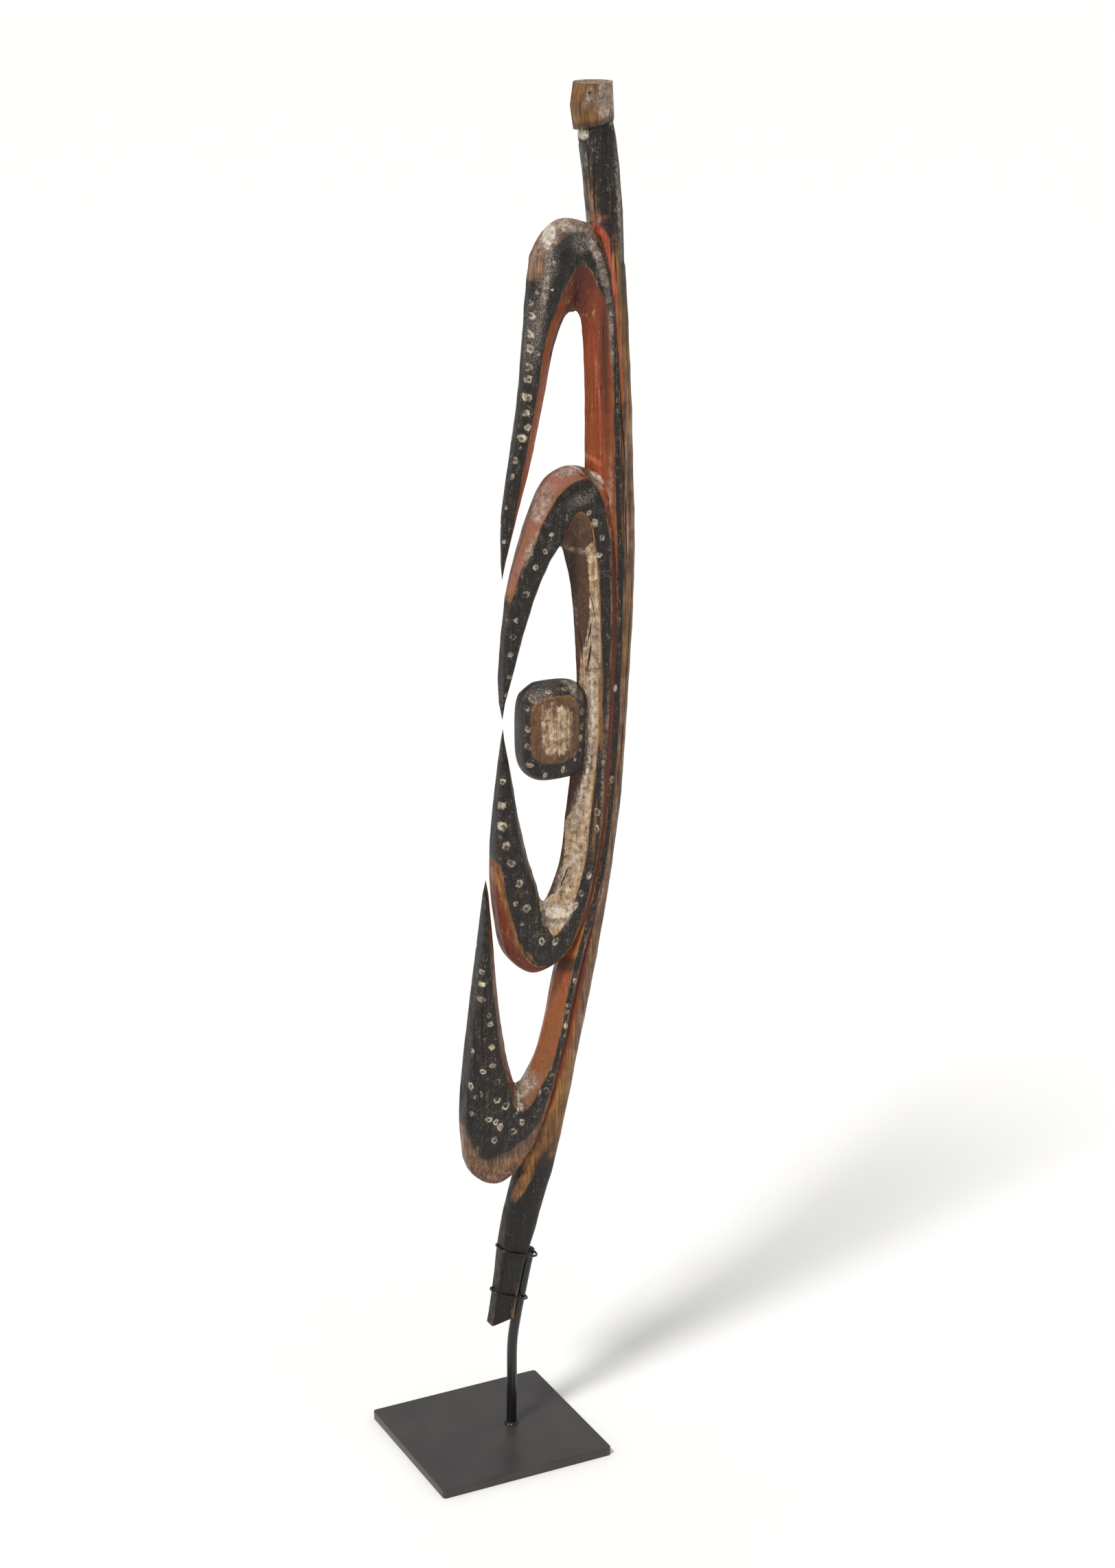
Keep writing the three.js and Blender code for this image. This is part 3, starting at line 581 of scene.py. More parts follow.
# Whitish paint and painted highlight: some rows light up facets of the top bend, such as x 69, z 1306 and x 120, z
# 1268, and some are painted glints on the black
paleAndHighlightPlaces = np.array([
    [69, 1306, 17, 7, 20], [52, 1288, 18, 3, 16], [61, 1262, 24, 2, 8], [120, 1268, 34, 3.4, -15], [113, 1290, 20, 4, -25],
    [107, 1437, 9, 3, 10], [92, 1318, 28, 8, 88], [129, 1219, 24, 1.6, -3], [114, 1330, 10, 1.5, 0],
    [111, 1362, 12, 1, 0], [140, 1325, 50, 1.6, -3], [130, 1434, 24, 17, 0], [59, 1043, 20, 5, 24], [60, 1060, 14, 1.5, 40],
    [44, 998, 16, 2, 22], [119, 1060, 12, 4, -42], [92, 1073, 16, 3, 75], [70, 603, 16, 11, 70], [38, 415, 18, 7.5, 50], [97, 991, 12, 2.5, 104],
    [93, 846, 12, 4, -40], [97, 916, 26, 4, 0], [115, 885, 40, 3, -2], [110, 800, 54, 4, 3], [101, 725, 36, 3, 12],
    [88, 650, 28, 4, 22], [86, 1326, 26, 3, 88], [122, 760, 30, 1, 4], [131, 1040, 24, 1, 0], [100, 700, 50, 1, 10],
    [142, 718, 32, 1, 8], [125, 630, 34, 1, 13],
])
goldenPlaces = np.array([
    [34, 1210, 50, 3.5, 8], [31, 1150, 30, 2, 12], [76, 401, 32, 4.5, 14], [62, 366, 26, 4.5, 20], [48, 335, 22, 4.5, 30],
    [36, 305, 24, 4.5, 30], [86, 440, 40, 2, 14], [27, 158, 20, 2.5, 6], [0, 168, 26, 2, 4], [114.5, 1340, 22, 2.4, -7],
    [147, 1190, 60, 3, -4], [140, 1240, 50, 2, -4], [120, 850, 22, 2.6, 0], [120, 805, 26, 2.6, 0],
    [113, 700, 30, 2, 4], [150, 900, 60, 2.5, 2], [0, 678, 22, 1.2, -18],
    [13, 632, 30, 1.6, -14], [30, 576, 22, 1.6, -42], [90, 450, 36, 2, 8], [142, 760, 50, 2.5, 7], [130, 655, 40, 1.2, 10], [112, 560, 50, 1.5, 13],
    [13, 333, 30, 3, 80], [108, 1421, 12, 7, 80],
])
scarletPlaces = np.array([
    [112, 1321, 11, 3, 82], [121, 1309, 14, 2.8, -35], [129, 1284, 22, 2.4, -13], [134.5, 1245, 28, 2, -8],
    [140, 1195, 34, 1.4, -5], [118, 1081, 9, 2, -50], [125, 1062, 16, 1.2, -17], [122, 1130, 30, 0.4, -4],
])
barePlaces = np.array([
    [84, 1320, 38, 8, 88], [70, 1328, 10, 6, 40], [49, 1280, 28, 6, 15],
    [92, 1238, 10, 3, -50], [-22, 330, 24, 7, -50], [10, 326, 34, 8, 88], [-34, 372, 30, 4, -8], [44, 350, 20, 4, 40],
    [60, 836, 12, 3, 80], [148, 1150, 90, 3, -4], [152, 960, 90, 3, 0],
])
# Dark paint and painted shade: the row at x 118, z 1413 is painted shade under the head, and the rows near x 70 to 84,
# z 545 to 560 are painted shade near a crotch
sootAndShadePlaces = np.array([
    [82, 1293, 17, 5, 14], [74, 1262, 16, 5, 14], [84, 545, 16, 7, 60], [72, 520, 16, 3, 10],
    [118, 1413, 26, 3.4, 76], [90, 975, 24, 4, -14], [58, 332, 18, 3, 36], [96, 905, 80, 6, 0], [92, 745, 40, 5, 6], [80, 676, 30, 5, 20],
    [70, 560, 20, 6, 30],
    [90, 1228, 14, 6, 10], [80, 1208, 30, 5, 20], [125, 1180, 70, 3, -2], [145, 1255, 40, 4, -6],
])
# Chalk-white paint and painted highlight: the row at x 69, z 1308 brightens a lit facet of the top bend, and the rows
# near z 610 brighten the crotch inside the inner band's lower bend
chalkAndHighlightPlaces = np.array([
    [105, 1402, 6, 4.5, 0], [88, 612, 8, 3.6, 40], [62, 615, 8, 4, 60], [74, 606, 12, 5, 88], [69, 1308, 14, 4.5, 20], [97, 1076, 10, 1.6, -38],
    [120, 1064, 9, 2.4, -45], [97, 852, 7, 2.6, 40], [113, 830, 28, 1.1, 0], [106, 752, 24, 1, 12],
    [28, 400, 8, 1.8, 20], [31, 396, 3, 2.4, 0],
])
# Painted sheen: a thin grey film over the soot that stands in for the glints of its gloss
paintedSheenPlaces = np.array([
    [52, 1215, 50, 9, 8], [98, 1300, 18, 12, 85], [64, 1275, 26, 9, 20], [140, 1350, 40, 5, -6], [139, 1285, 26, 5, -8],
    [92, 838, 16, 8, -20], [56, 847, 22, 7, 78], [96, 1045, 20, 8, 75],
])
farShift = {"across": 1.5, "along": 7, "seed": 8}   # mm


def farSide(rows, number):
    # The same kinds of mark for the side that faces away, each moved, turned and resized
    chance = np.random.default_rng(farShift["seed"] + number)
    moved = rows[chance.random(len(rows)) < 0.85].astype(float)
    moved[:, 0] += chance.normal(0, farShift["across"], len(moved))
    moved[:, 1] += chance.normal(0, farShift["along"], len(moved))
    moved[:, 2:4] *= chance.uniform(0.8, 1.2, (len(moved), 2))
    return moved


def inEllipse(x, z, rows):
    # Place along and across an ellipse, each 1 at its rim
    s, c = np.sin(np.radians(rows[:, 4])), np.cos(np.radians(rows[:, 4]))
    dx, dz = x - rows[:, 0], z - rows[:, 1]
    return (dx * s + dz * c) / rows[:, 2], (dx * c - dz * s) / rows[:, 3]


def spotField(x, z, near, rows, number):
    # The largest over the places of (1 - distance in its ellipse) x its half width, in mm
    field = np.full(x.shape, carving["noCoat"], np.float32)
    for side, places in ((near, rows), (~near, farSide(rows, number))):
        sx, sz, best = x[side], z[side], field[side]
        for row in places:
            u, v = inEllipse(sx, sz, row[None].astype(np.float32))
            best = np.maximum(best, (1 - np.hypot(u, v)) * row[3])
        field[side] = best
    return field


def addMarks(mesh):
    # Corner values of one face all refer to the same mark, so that they stay true across the face
    points = np.zeros(len(mesh.vertices) * 3, np.float32)
    mesh.vertices.foreach_get("co", points)
    points = points.reshape(-1, 3) / mm
    corner = np.zeros(len(mesh.loops), np.int32)
    mesh.loops.foreach_get("vertex_index", corner)
    centres = np.zeros(len(mesh.polygons) * 3, np.float32)
    mesh.polygons.foreach_get("center", centres)
    centres = centres.reshape(-1, 3) / mm
    sizes = np.zeros(len(mesh.polygons), np.int32)
    mesh.polygons.foreach_get("loop_total", sizes)
    faceOf = np.repeat(np.arange(len(sizes)), sizes)
    x, y, z = points[corner].T

    for field, rows, number in (("dabsAndGlints", dabsAndGlints, 1), ("slitsAndShadeLine", slitsAndShadeLine, 2)):
        values = np.full((len(corner), 3), 9.0, np.float32)
        for side, marks in ((centres[:, 1] < 0, rows), (centres[:, 1] >= 0, farSide(rows, number))):
            apart = np.full(len(centres), np.inf)
            chosen = np.zeros(len(centres), int)
            for k, row in enumerate(marks):
                u, v = inEllipse(centres[:, 0], centres[:, 2], row[None])
                away = np.hypot(u, v)
                chosen[away < apart] = k
                apart = np.minimum(apart, away)
            mine = side[faceOf]
            row = marks[chosen[faceOf[mine]]]
            u, v = inEllipse(x[mine], z[mine], row)
            values[mine] = np.stack([u, v, row[:, 5] if rows.shape[1] > 5 else 0 * u], -1)
        mesh.attributes.new(field, "FLOAT_VECTOR", "CORNER").data.foreach_set("vector", values.ravel())

    near = y < 0
    groups = (("spotsAndHighlights", (paleAndHighlightPlaces, goldenPlaces, scarletPlaces)), ("bareSootShadeChalk", (barePlaces, sootAndShadePlaces, chalkAndHighlightPlaces)))
    for number, (field, tables) in enumerate(groups):
        values = np.stack([spotField(x, z, near, rows, 10 * number + k) for k, rows in enumerate(tables)], -1)
        layer = mesh.attributes.new(field, "FLOAT_VECTOR", "CORNER")
        layer.data.foreach_set("vector", values.astype(np.float32).ravel())
    mesh.attributes.new("paintedSheen", "FLOAT", "CORNER").data.foreach_set("value", spotField(x, z, near, paintedSheenPlaces, 20))


def paintedWood():
    # Hardwood shaped with an adze and brushed with soot, red ochre and burnt lime: dull, uneven coats that are
    # worn through to brown wood on the edges, with cracks that run up and down the trunk
    s = {
        "grain": (430, 430, 13),      # waves in a metre: 2.3 mm across the grain, 77 mm along it
        "crack": (90, 90, 1.0),       # cracks about 11 mm apart that run on for a forearm's length
        "ragged": 2.6,                # mm that a coat's edge wanders
    }
    material, tree = newMaterial("adzed hardwood with soot, ochre and lime")
    add = partial(addNode, tree)
    place = add("ShaderNodeTexCoord").outputs["Object"]
    coat, tint, spotAndHighlight, bareSootShadeChalk, dabAndGlint, slitAndShadeLine = (
        add("ShaderNodeSeparateXYZ", {0: add("ShaderNodeAttribute", attribute_name=name).outputs["Vector"]})
        for name in ("coats", "tints", "spotsAndHighlights", "bareSootShadeChalk", "dabsAndGlints", "slitsAndShadeLine")
    )
    grainPlace = add("ShaderNodeMapping", {"Vector": place, "Scale": s["grain"]}).outputs[0]
    grain = add("ShaderNodeTexNoise", {"Vector": grainPlace, "Scale": 1.0, "Detail": 5.0, "Roughness": 0.7}).outputs[0]
    blotch, mottle, flake, speck = (
        add("ShaderNodeTexNoise", {"Vector": place, "Scale": scale, "Detail": 4.0, "Roughness": 0.62}).outputs[0]
        for scale in (38.0, 115.0, 250.0, 800.0)
    )

    # a coat's edge wanders with the flakes and runs out along the grain
    wander = add("ShaderNodeMath", {0: flake, 1: s["ragged"], 2: -s["ragged"] / 2}, operation="MULTIPLY_ADD").outputs[0]
    streak = add("ShaderNodeMath", {0: grain, 1: s["ragged"] * 1.6, 2: -s["ragged"] * 0.8}, operation="MULTIPLY_ADD").outputs[0]
    edge = add("ShaderNodeMath", {0: wander, 1: streak}, operation="ADD").outputs[0]

    # share of cover: a distance in mm plus the wander, over the width in which the coat fades out
    shares = []
    for field, fade in ((coat.outputs[0], tint.outputs[2]), (coat.outputs[1], 0.4), (coat.outputs[2], 0.6),
                        (tint.outputs[0], 1.8), (spotAndHighlight.outputs[0], 2.2), (spotAndHighlight.outputs[1], 1.5), (spotAndHighlight.outputs[2], 1.5),
                        (bareSootShadeChalk.outputs[0], 1.5), (bareSootShadeChalk.outputs[1], 3.0), (bareSootShadeChalk.outputs[2], 0.8)):
        moved = add("ShaderNodeMath", {0: field, 1: edge}, operation="ADD").outputs[0]
        moved = add("ShaderNodeMath", {0: moved, 1: fade}, operation="DIVIDE").outputs[0]
        shares.append(add("ShaderNodeMapRange", {0: moved, 1: -1.0, 2: 1.0}, interpolation_type="SMOOTHSTEP").outputs[0])
    black, red, lime, ochre, paleAndHighlight, golden, scarlet, stripped, sootyAndShaded, chalkAndHighlight = shares

    # tones: every coat is uneven over a hand's width, a thumb's width and a grain's
    tones = {}
    for name, parts, low, high in (
        ("wood", ((grain, 0.6), (blotch, 0.4)), 0.36, 0.64),
        ("black", ((mottle, 0.3), (speck, 0.5), (grain, 0.2)), 0.38, 0.62),
        ("lime", ((grain, 0.35), (mottle, 0.35), (flake, 0.3)), 0.4, 0.6),
        ("paleAndHighlight", ((speck, 0.5), (mottle, 0.5)), 0.38, 0.6),
        ("shift", ((grain, 0.5), (mottle, 0.5)), 0.3, 0.7),
    ):
        total = 0.0
        for part, weight in parts:
            total = add("ShaderNodeMath", {0: part, 1: weight, 2: total}, operation="MULTIPLY_ADD").outputs[0]
        tones[name] = add("ShaderNodeMapRange", {0: total, 1: low, 2: high}).outputs[0]
    height = add("ShaderNodeSeparateXYZ", {0: place}).outputs[2]
    calm = add("ShaderNodeMapRange", {0: height, 1: 0.3, 2: 0.36, 3: 0.68, 4: 1.0}).outputs[0]   # the leg is plain
    tones["black"] = add("ShaderNodeMath", {0: tones["black"], 1: calm}, operation="MULTIPLY").outputs[0]
    redTone = add("ShaderNodeMath", {0: tones["shift"], 1: 0.26, 2: -0.13}, operation="MULTIPLY_ADD").outputs[0]
    redTone = add("ShaderNodeMath", {0: tint.outputs[1], 1: redTone}, operation="ADD").outputs[0]
    ramps = []
    for tone, stops in (
        (tones["wood"], [(0, "#33241b"), (0.4, "#604735"), (0.7, "#8a6850"), (1, "#b3937a")]),
        (tones["wood"], [(0, "#402b1a"), (0.5, "#7a532b"), (1, "#a97f47")]),
        (redTone, [(0, "#2c110b"), (0.12, "#481b10"), (0.28, "#6a2f18"), (0.45, "#8f431c"), (0.62, "#8f532d"),
                   (0.76, "#6c4a31"), (0.86, "#453022"), (0.94, "#6b4030"), (1, "#8f5a44")]),
        (tones["lime"], [(0, "#5a4534"), (0.3, "#8d7356"), (0.65, "#b99d7c"), (1, "#dfcdb0")]),
        # the black's pale flecks, driven mostly by the finest noise, are partly painted glints of its gloss
        (tones["black"], [(0, "#0b0908"), (0.4, "#191512"), (0.7, "#2f2923"), (0.88, "#5a5147"), (1, "#8e8376")]),
        (tones["paleAndHighlight"], [(0, "#5a4b40"), (0.45, "#8f7e70"), (1, "#c9b8a8")]),
        (tones["wood"], [(0, "#6e2a1a"), (0.5, "#ad5136"), (1, "#cd8466")]),
        (tones["paleAndHighlight"], [(0, "#73655a"), (0.5, "#ab9a83"), (1, "#dccdb4")]),
    ):
        ramps.append(add("ShaderNodeValToRGB", {0: tone}, stops=stops).outputs[0])
    woodColour, goldenColour, redColour, limeColour, blackColour, paleAndHighlightColour, scarletColour, dabAndGlintColour = ramps

    # wear lets the coat below through in flakes
    wearing = add("ShaderNodeMath", {0: flake, 1: grain}, operation="MULTIPLY").outputs[0]
    kept = add("ShaderNodeMapRange", {0: wearing, 1: 0.335, 2: 0.385, 3: 1.0, 4: 0.2}).outputs[0]
    deep = add("ShaderNodeMapRange", {0: coat.outputs[0], 1: 1.5, 2: 4.5, 3: 0.0, 4: 0.9}).outputs[0]
    keptDeep = add("ShaderNodeMath", {0: kept, 1: deep}, operation="MAXIMUM").outputs[0]
    redKept, limeKept, blackKept = (
        add("ShaderNodeMath", {0: share, 1: wear}, operation="MULTIPLY").outputs[0]
        for share, wear in ((red, kept), (lime, kept), (black, keptDeep))
    )

    # painted sheen: a grey film over the soot in places, densest where the surface is gritty, standing in for glints
    paintedSheen = add("ShaderNodeAttribute", attribute_name="paintedSheen").outputs["Fac"]
    paintedSheen = add("ShaderNodeMath", {0: wander, 1: paintedSheen}, operation="ADD").outputs[0]
    paintedSheen = add("ShaderNodeMapRange", {0: paintedSheen, 1: -2.0, 2: 8.0}, interpolation_type="SMOOTHSTEP").outputs[0]
    sheenSpeck = add("ShaderNodeMapRange", {0: speck, 1: 0.42, 2: 0.62, 3: 0.0, 4: 1.0}).outputs[0]
    paintedSheen = add("ShaderNodeMath", {0: paintedSheen, 1: sheenSpeck}, operation="MULTIPLY").outputs[0]

    # dabs and slits, with painted glints and a painted shade line among them: a face's corners hold its place across
    # the nearest one, which is 1 at the rim
    shake = add("ShaderNodeMath", {0: flake, 1: 1.5, 2: -0.7}, operation="MULTIPLY_ADD").outputs[0]
    rims = []
    for part, wobble in ((dabAndGlint, shake), (slitAndShadeLine, streak)):
        pair = add("ShaderNodeCombineXYZ", {0: part.outputs[0], 1: part.outputs[1]}).outputs[0]
        rim = add("ShaderNodeVectorMath", {0: pair}, operation="LENGTH").outputs[1]
        rims.append(add("ShaderNodeMath", {0: rim, 1: wobble}, operation="ADD").outputs[0])
    disc = add("ShaderNodeMapRange", {0: rims[0], 1: 0.85, 2: 1.1, 3: 1.0, 4: 0.0}).outputs[0]
    hole = add("ShaderNodeMapRange", {0: rims[0], 1: 0.32, 2: 0.58, 3: 1.0, 4: 0.0}).outputs[0]
    opening = add("ShaderNodeMath", {0: 1.0, 1: dabAndGlint.outputs[2]}, operation="SUBTRACT", use_clamp=True).outputs[0]
    opening = add("ShaderNodeMath", {0: opening, 1: hole}, operation="MULTIPLY").outputs[0]
    dabAndGlintShare = add("ShaderNodeMath", {0: disc, 1: opening}, operation="SUBTRACT", use_clamp=True).outputs[0]
    thin = add("ShaderNodeMapRange", {0: mottle, 1: 0.36, 2: 0.6, 3: 0.1, 4: 0.95}).outputs[0]
    facing = add("ShaderNodeSeparateXYZ", {0: add("ShaderNodeTexCoord").outputs["Normal"]}).outputs[1]
    facing = add("ShaderNodeMath", {0: facing}, operation="ABSOLUTE").outputs[0]
    facing = add("ShaderNodeMapRange", {0: facing, 1: 0.15, 2: 0.35}).outputs[0]
    for factor in (thin, facing):
        dabAndGlintShare = add("ShaderNodeMath", {0: dabAndGlintShare, 1: factor}, operation="MULTIPLY").outputs[0]
    slitAndShadeShare = add("ShaderNodeMapRange", {0: rims[1], 1: 0.6, 2: 1.2, 3: 1.0, 4: 0.0}).outputs[0]

    # fine cracks: narrow bands where a long drawn-out noise passes its middle value
    crackPlace = add("ShaderNodeMapping", {"Vector": place, "Scale": s["crack"]}).outputs[0]
    crack = add("ShaderNodeTexNoise", {"Vector": crackPlace, "Scale": 1.0, "Detail": 1.0, "Roughness": 0.4}).outputs[0]
    crack = add("ShaderNodeMath", {0: crack, 1: 0.5}, operation="SUBTRACT").outputs[0]
    crack = add("ShaderNodeMath", {0: crack}, operation="ABSOLUTE").outputs[0]
    crack = add("ShaderNodeMapRange", {0: crack, 1: 0.002, 2: 0.008, 3: 0.6, 4: 0.0}).outputs[0]
    broken = add("ShaderNodeMapRange", {0: blotch, 1: 0.52, 2: 0.62}).outputs[0]
    crack = add("ShaderNodeMath", {0: crack, 1: broken}, operation="MULTIPLY").outputs[0]
    # the slits join the cracks, among them the painted shade line under the head
    crack = add("ShaderNodeMath", {0: crack, 1: slitAndShadeShare}, operation="MAXIMUM").outputs[0]

    # bare wood along the arrises that bound the black
    rub = add("ShaderNodeMath", {0: wander, 1: 0.35, 2: coat.outputs[0]}, operation="MULTIPLY_ADD").outputs[0]
    rub = add("ShaderNodeMath", {0: rub}, operation="ABSOLUTE").outputs[0]
    rub = add("ShaderNodeMapRange", {0: rub, 1: 0.4, 2: 1.5, 3: 0.9, 4: 0.0}).outputs[0]
    patch = add("ShaderNodeMapRange", {0: blotch, 1: 0.42, 2: 0.55}).outputs[0]
    rub = add("ShaderNodeMath", {0: rub, 1: patch}, operation="MULTIPLY").outputs[0]

    # pale and chalk-white marks, partly painted highlights, only show on the raised grains
    grit = add("ShaderNodeMapRange", {0: flake, 1: 0.4, 2: 0.6, 3: 0.3, 4: 0.95}).outputs[0]
    paleAndHighlightShare, chalkAndHighlightShare = (
        add("ShaderNodeMath", {0: share, 1: grit}, operation="MULTIPLY").outputs[0] for share in (paleAndHighlight, chalkAndHighlight)
    )
    # soot marks, partly painted shade, darken towards near black
    sootAndShadeShare = add("ShaderNodeMath", {0: sootyAndShaded, 1: 0.7}, operation="MULTIPLY").outputs[0]

    # each coat is brushed over what is below it
    colour = woodColour
    for share, above in ((ochre, goldenColour), (redKept, redColour), (limeKept, limeColour), (blackKept, blackColour),
                         (paintedSheen, linear("#8a7f75")), (rub, goldenColour), (stripped, woodColour), (golden, goldenColour), (scarlet, scarletColour),
                         (paleAndHighlightShare, paleAndHighlightColour), (chalkAndHighlightShare, linear("#d8cdbb")), (sootAndShadeShare, linear("#1b1715")),
                         (dabAndGlintShare, dabAndGlintColour), (crack, linear("#18110c"))):
        colour = add("ShaderNodeMix", {0: share, 6: colour, 7: above}, data_type="RGBA").outputs[2]

    relief = add("ShaderNodeMath", {0: grain, 1: 0.4}, operation="MULTIPLY").outputs[0]
    for part, weight in ((flake, 0.4), (speck, 0.2), (blackKept, 0.15), (limeKept, 0.2), (dabAndGlintShare, 0.25), (crack, -0.9)):
        relief = add("ShaderNodeMath", {0: part, 1: weight, 2: relief}, operation="MULTIPLY_ADD").outputs[0]
    bump = add("ShaderNodeBump", {"Strength": 1.0, "Distance": 0.001, "Height": relief}).outputs[0]
    sheen = add("ShaderNodeMapRange", {0: mottle, 1: 0.35, 2: 0.65, 3: 0.36, 4: 0.62}).outputs[0]
    shader = add("ShaderNodeBsdfPrincipled", {"Base Color": colour, "Roughness": sheen, "Normal": bump, "Specular IOR Level": 0.32})
    add("ShaderNodeOutputMaterial", {"Surface": shader.outputs[0]})
    return material


# Stand

def blackSteel():
    # Mild steel under satin black paint: an even dark coat with a soft reflection and a faint orange peel; the bars
    # above the plate are darker still, a painted dark reflection
    material, tree = newMaterial("mild steel, satin black paint")
    place = addNode(tree, "ShaderNodeTexCoord").outputs["Object"]
    cloud = addNode(tree, "ShaderNodeTexNoise", {"Vector": place, "Scale": 18.0, "Detail": 5.0, "Roughness": 0.6}).outputs[0]
    peel = addNode(tree, "ShaderNodeTexNoise", {"Vector": place, "Scale": 1400.0, "Detail": 2.0}).outputs[0]
    colour = addNode(tree, "ShaderNodeValToRGB", {0: cloud}, stops=[(0.3, "#2d2a29"), (0.7, "#3e3a38")]).outputs[0]
    rough = addNode(tree, "ShaderNodeMapRange", {0: cloud, 1: 0.3, 2: 0.7, 3: 0.3, 4: 0.42}).outputs[0]
    height = addNode(tree, "ShaderNodeSeparateXYZ", {0: place}).outputs[2]
    bar = addNode(tree, "ShaderNodeMath", {0: height, 1: 0.0101}, operation="GREATER_THAN").outputs[0]   # above the plate
    # painted reflection: the bars get a darker copy of the plate's paint, standing in for the dark surroundings they
    # reflect
    colour = addNode(tree, "ShaderNodeMix", {0: bar, 6: colour, 7: linear("#121110")}, data_type="RGBA").outputs[2]
    rough = addNode(tree, "ShaderNodeMath", {0: bar, 1: -0.1, 2: rough}, operation="MULTIPLY_ADD").outputs[0]
    bump = addNode(tree, "ShaderNodeBump", {"Strength": 0.12, "Distance": 0.0003, "Height": peel}).outputs[0]
    shader = addNode(tree, "ShaderNodeBsdfPrincipled", {"Base Color": colour, "Roughness": rough, "Normal": bump})
    addNode(tree, "ShaderNodeOutputMaterial", {"Surface": shader.outputs[0]})
    return material


def makeCarving():
    shells = [
        bandShell("outer_band", outerBand, outerTips, outerBandPaint, 1.0),
        bandShell("inner_band", innerBand, innerTips, innerBandPaint, 2.0),
        bowShell(), knobShell(), headShell(),
    ]
    mesh = joined("hook_figure", shells)
    points = np.zeros(len(mesh.vertices) * 3)
    mesh.vertices.foreach_get("co", points)
    points = cutFlat(points.reshape(-1, 3) / mm, cuts, -1)
    points = cutFlat(points, cuts + farCutShift, 1)
    mesh.vertices.foreach_set("co", (points * mm).ravel())
    mesh.update()
    mesh.shade_smooth()
    mesh.set_sharp_from_angle(angle=radians(40))
    addMarks(mesh)
    return addPiece("hook_figure", mesh, [paintedWood()], ["figure"])


def tubeRings(centre, across, upright, radii, sides):
    # Rings of a round bar: centre + radius x (across x cos + upright x sin)
    angle = 2 * pi * np.arange(sides) / sides
    c, s = np.cos(angle)[None, :, None], np.sin(angle)[None, :, None]
    return centre[:, None] + radii[:, None, None] * (across[:, None] * c + upright[:, None] * s)


def barMesh(name, rings, first, last):
    mesh = closedMesh(name, rings, first, last, {})
    mesh.shade_smooth()
    mesh.set_sharp_from_angle(angle=radians(50))
    return mesh


def makeRod(steel):
    # Round bar from the weld on the plate to its rounded top end
    s = {"line": [[25, 10.05], [25.8, 62], [26.8, 112], [31.9, 144], [37.8, 172], [43.2, 197], [48.6, 220]],
         "radius": 5.5, "sides": 40, "rings": 130,
         "weld": ([0, 0.8, 1.6, 2.6, 3.6], [2.3, 1.9, 1.0, 0.3, 0]), "lobes": 9, "lobeSize": 0.35, "endRound": 2.5}
    at = np.linspace(0, len(s["line"]) - 1, s["rings"])**1.25 / (len(s["line"]) - 1)**0.25
    line = curveThrough(s["line"], at)
    run = runOf(line)
    tangent = np.gradient(line, axis=0)
    tangent /= np.linalg.norm(tangent, axis=1, keepdims=True)
    across = np.stack([tangent[:, 1], 0 * run, -tangent[:, 0]], -1)
    upright = np.tile([0.0, 1, 0], (len(run), 1))
    left = np.clip((run[-1] - run) / s["endRound"], 0, 1)
    radii = s["radius"] - s["endRound"] * (1 - np.sqrt(1 - (1 - left)**2))
    centre = inPlane(line, 0 * run)
    rings = tubeRings(centre, across, upright, radii, s["sides"])
    bead = np.interp(run, *s["weld"])[:, None]
    lobes = 1 + s["lobeSize"] * np.sin(s["lobes"] * 2 * pi * np.arange(s["sides"]) / s["sides"])[None]
    rings += tubeRings(0 * centre, across, upright, np.ones(len(run)), s["sides"]) * (bead * lobes)[..., None]
    mesh = barMesh("support_bar", rings, centre[0], centre[-1])
    addPiece("support_bar", mesh, [steel], ["support_rod"])


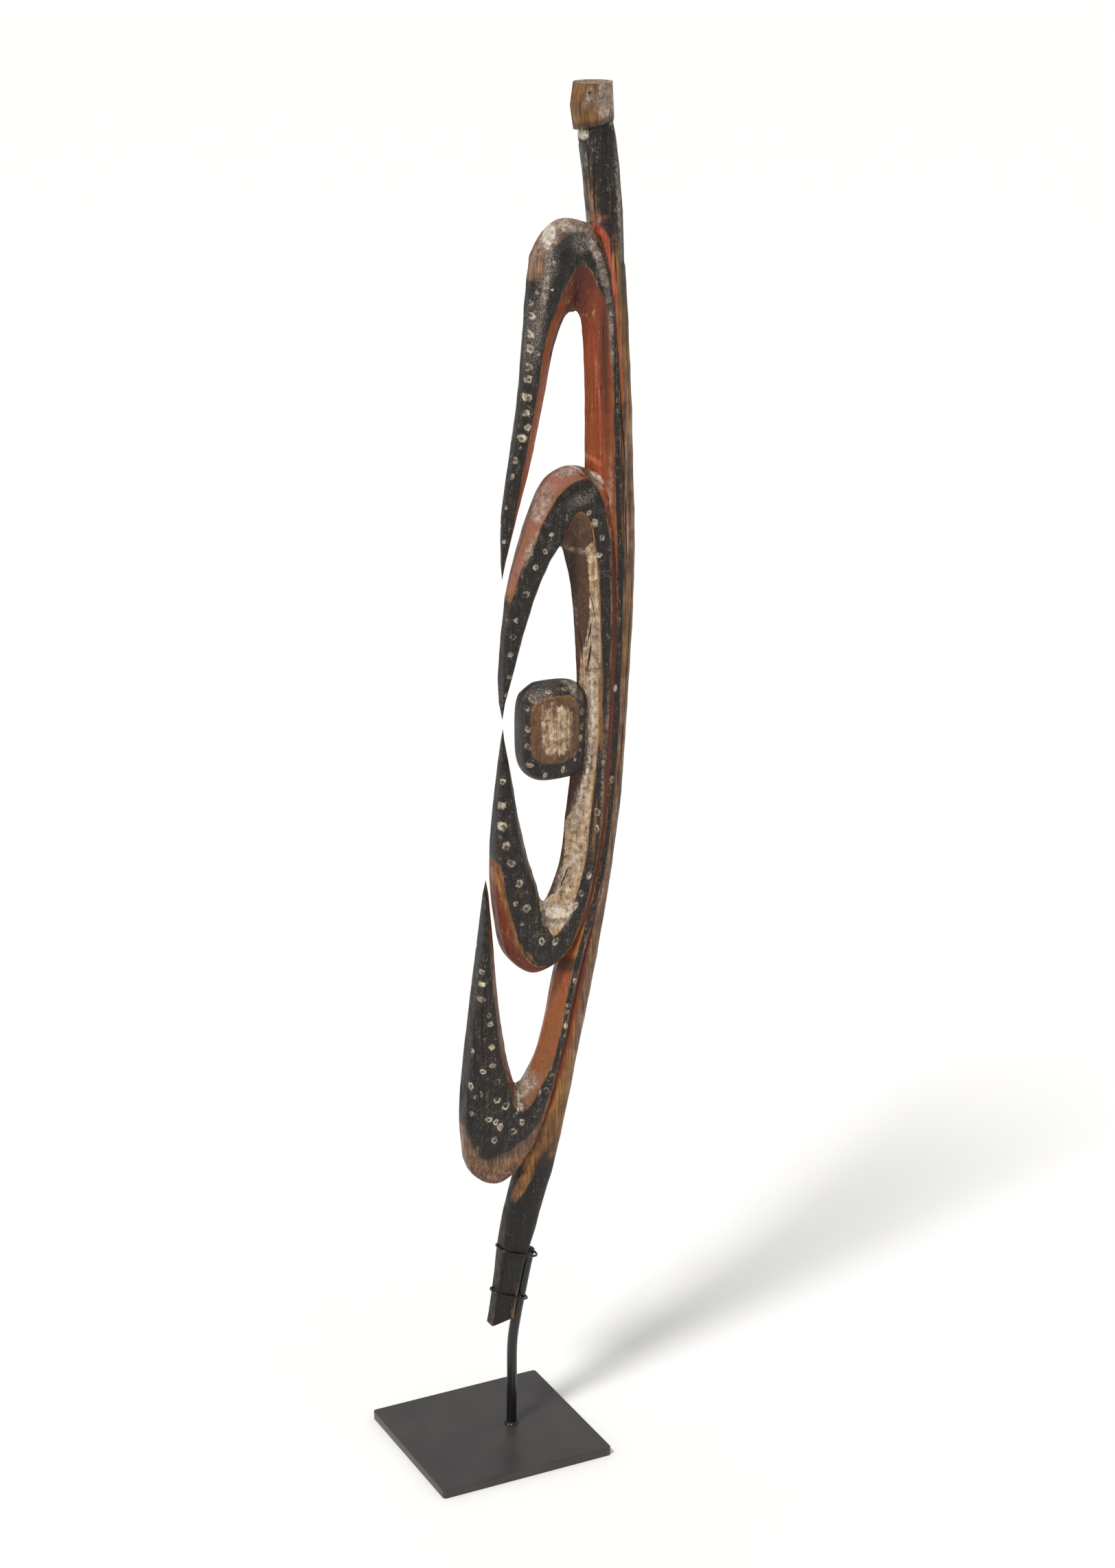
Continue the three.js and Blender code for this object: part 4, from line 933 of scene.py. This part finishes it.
def makeRing(name, node, steel, x, z, reach, depth, lean):
    # Squarish loop of wire, |x|^p + |y|^p = 1, in a plane square to the leaning leg, closed on itself
    s = {"squareness": 2.6, "wire": 1.3, "steps": 150, "sides": 14}
    angle = 2 * pi * np.arange(s["steps"]) / s["steps"]
    turn = 2 * pi * np.arange(s["sides"]) / s["sides"]
    outward = np.stack([np.cos(angle) / reach, np.sin(angle) / depth], -1)
    outward /= np.linalg.norm(outward, axis=1, keepdims=True)
    wire = s["wire"] * np.cos(turn)[None]
    along = reach * rounded(np.cos(angle), s["squareness"])[:, None] + wire * outward[:, :1]
    side = depth * rounded(np.sin(angle), s["squareness"])[:, None] + wire * outward[:, 1:]
    up = s["wire"] * np.sin(turn)[None] + 0 * along
    c, n = np.cos(lean), np.sin(lean)
    points = np.stack([x + along * c + up * n, side, z - along * n + up * c], -1)
    r, k = np.meshgrid(np.arange(s["steps"]), np.arange(s["sides"]), indexing="ij")
    r2, k2 = (r + 1) % s["steps"], (k + 1) % s["sides"]
    faces = np.stack([r * s["sides"] + k, r2 * s["sides"] + k, r2 * s["sides"] + k2, r * s["sides"] + k2], -1)
    mesh = bpy.data.meshes.new(name)
    mesh.from_pydata((points.reshape(-1, 3) * mm).tolist(), [], faces.reshape(-1, 4).tolist())
    mesh.shade_smooth()
    addPiece(name, mesh, [steel], [node])


def makePlate(steel):
    # Flat plate with round corners and softened edges: insets and heights of the outlines from the bottom up
    s = {"halfX": 100, "halfY": 94, "thickness": 10, "corner": 4, "cornerSteps": 9, "soft": 0.8, "softSteps": 5}
    bend = np.linspace(0, pi / 2, s["softSteps"])
    inset = s["soft"] * (1 - np.sin(bend))
    level = s["soft"] * (1 - np.cos(bend))
    inset = np.concatenate([[3, 1.1], inset, inset[::-1], [1.1, 3]])
    level = np.concatenate([[0, 0], level, s["thickness"] - level[::-1], [s["thickness"]] * 2])
    quarter = np.linspace(0, pi / 2, s["cornerSteps"])
    angle = np.concatenate([quarter + k * pi / 2 for k in range(4)])
    cx = np.repeat([1, -1, -1, 1], s["cornerSteps"]) * (s["halfX"] - s["corner"])
    cy = np.repeat([1, 1, -1, -1], s["cornerSteps"]) * (s["halfY"] - s["corner"])
    radius = s["corner"] - inset[:, None]
    points = np.stack([cx + radius * np.cos(angle), cy + radius * np.sin(angle), level[:, None] + 0 * cx], -1)
    mesh = barMesh("plate", points[:, ::-1], [0, 0, 0], [0, 0, s["thickness"]])
    addPiece("plate", mesh, [steel], ["base_plate"])


steel = blackSteel()
makeCarving()
print("carving made")
makeRod(steel)
makeRing("upper_wire", "upper_ring", steel, 32.2, 220, 23, 15.3, radians(19))
makeRing("lower_wire", "lower_ring", steel, 22.6, 170, 21.8, 11.4, radians(22))
makePlate(steel)
print("stand made")
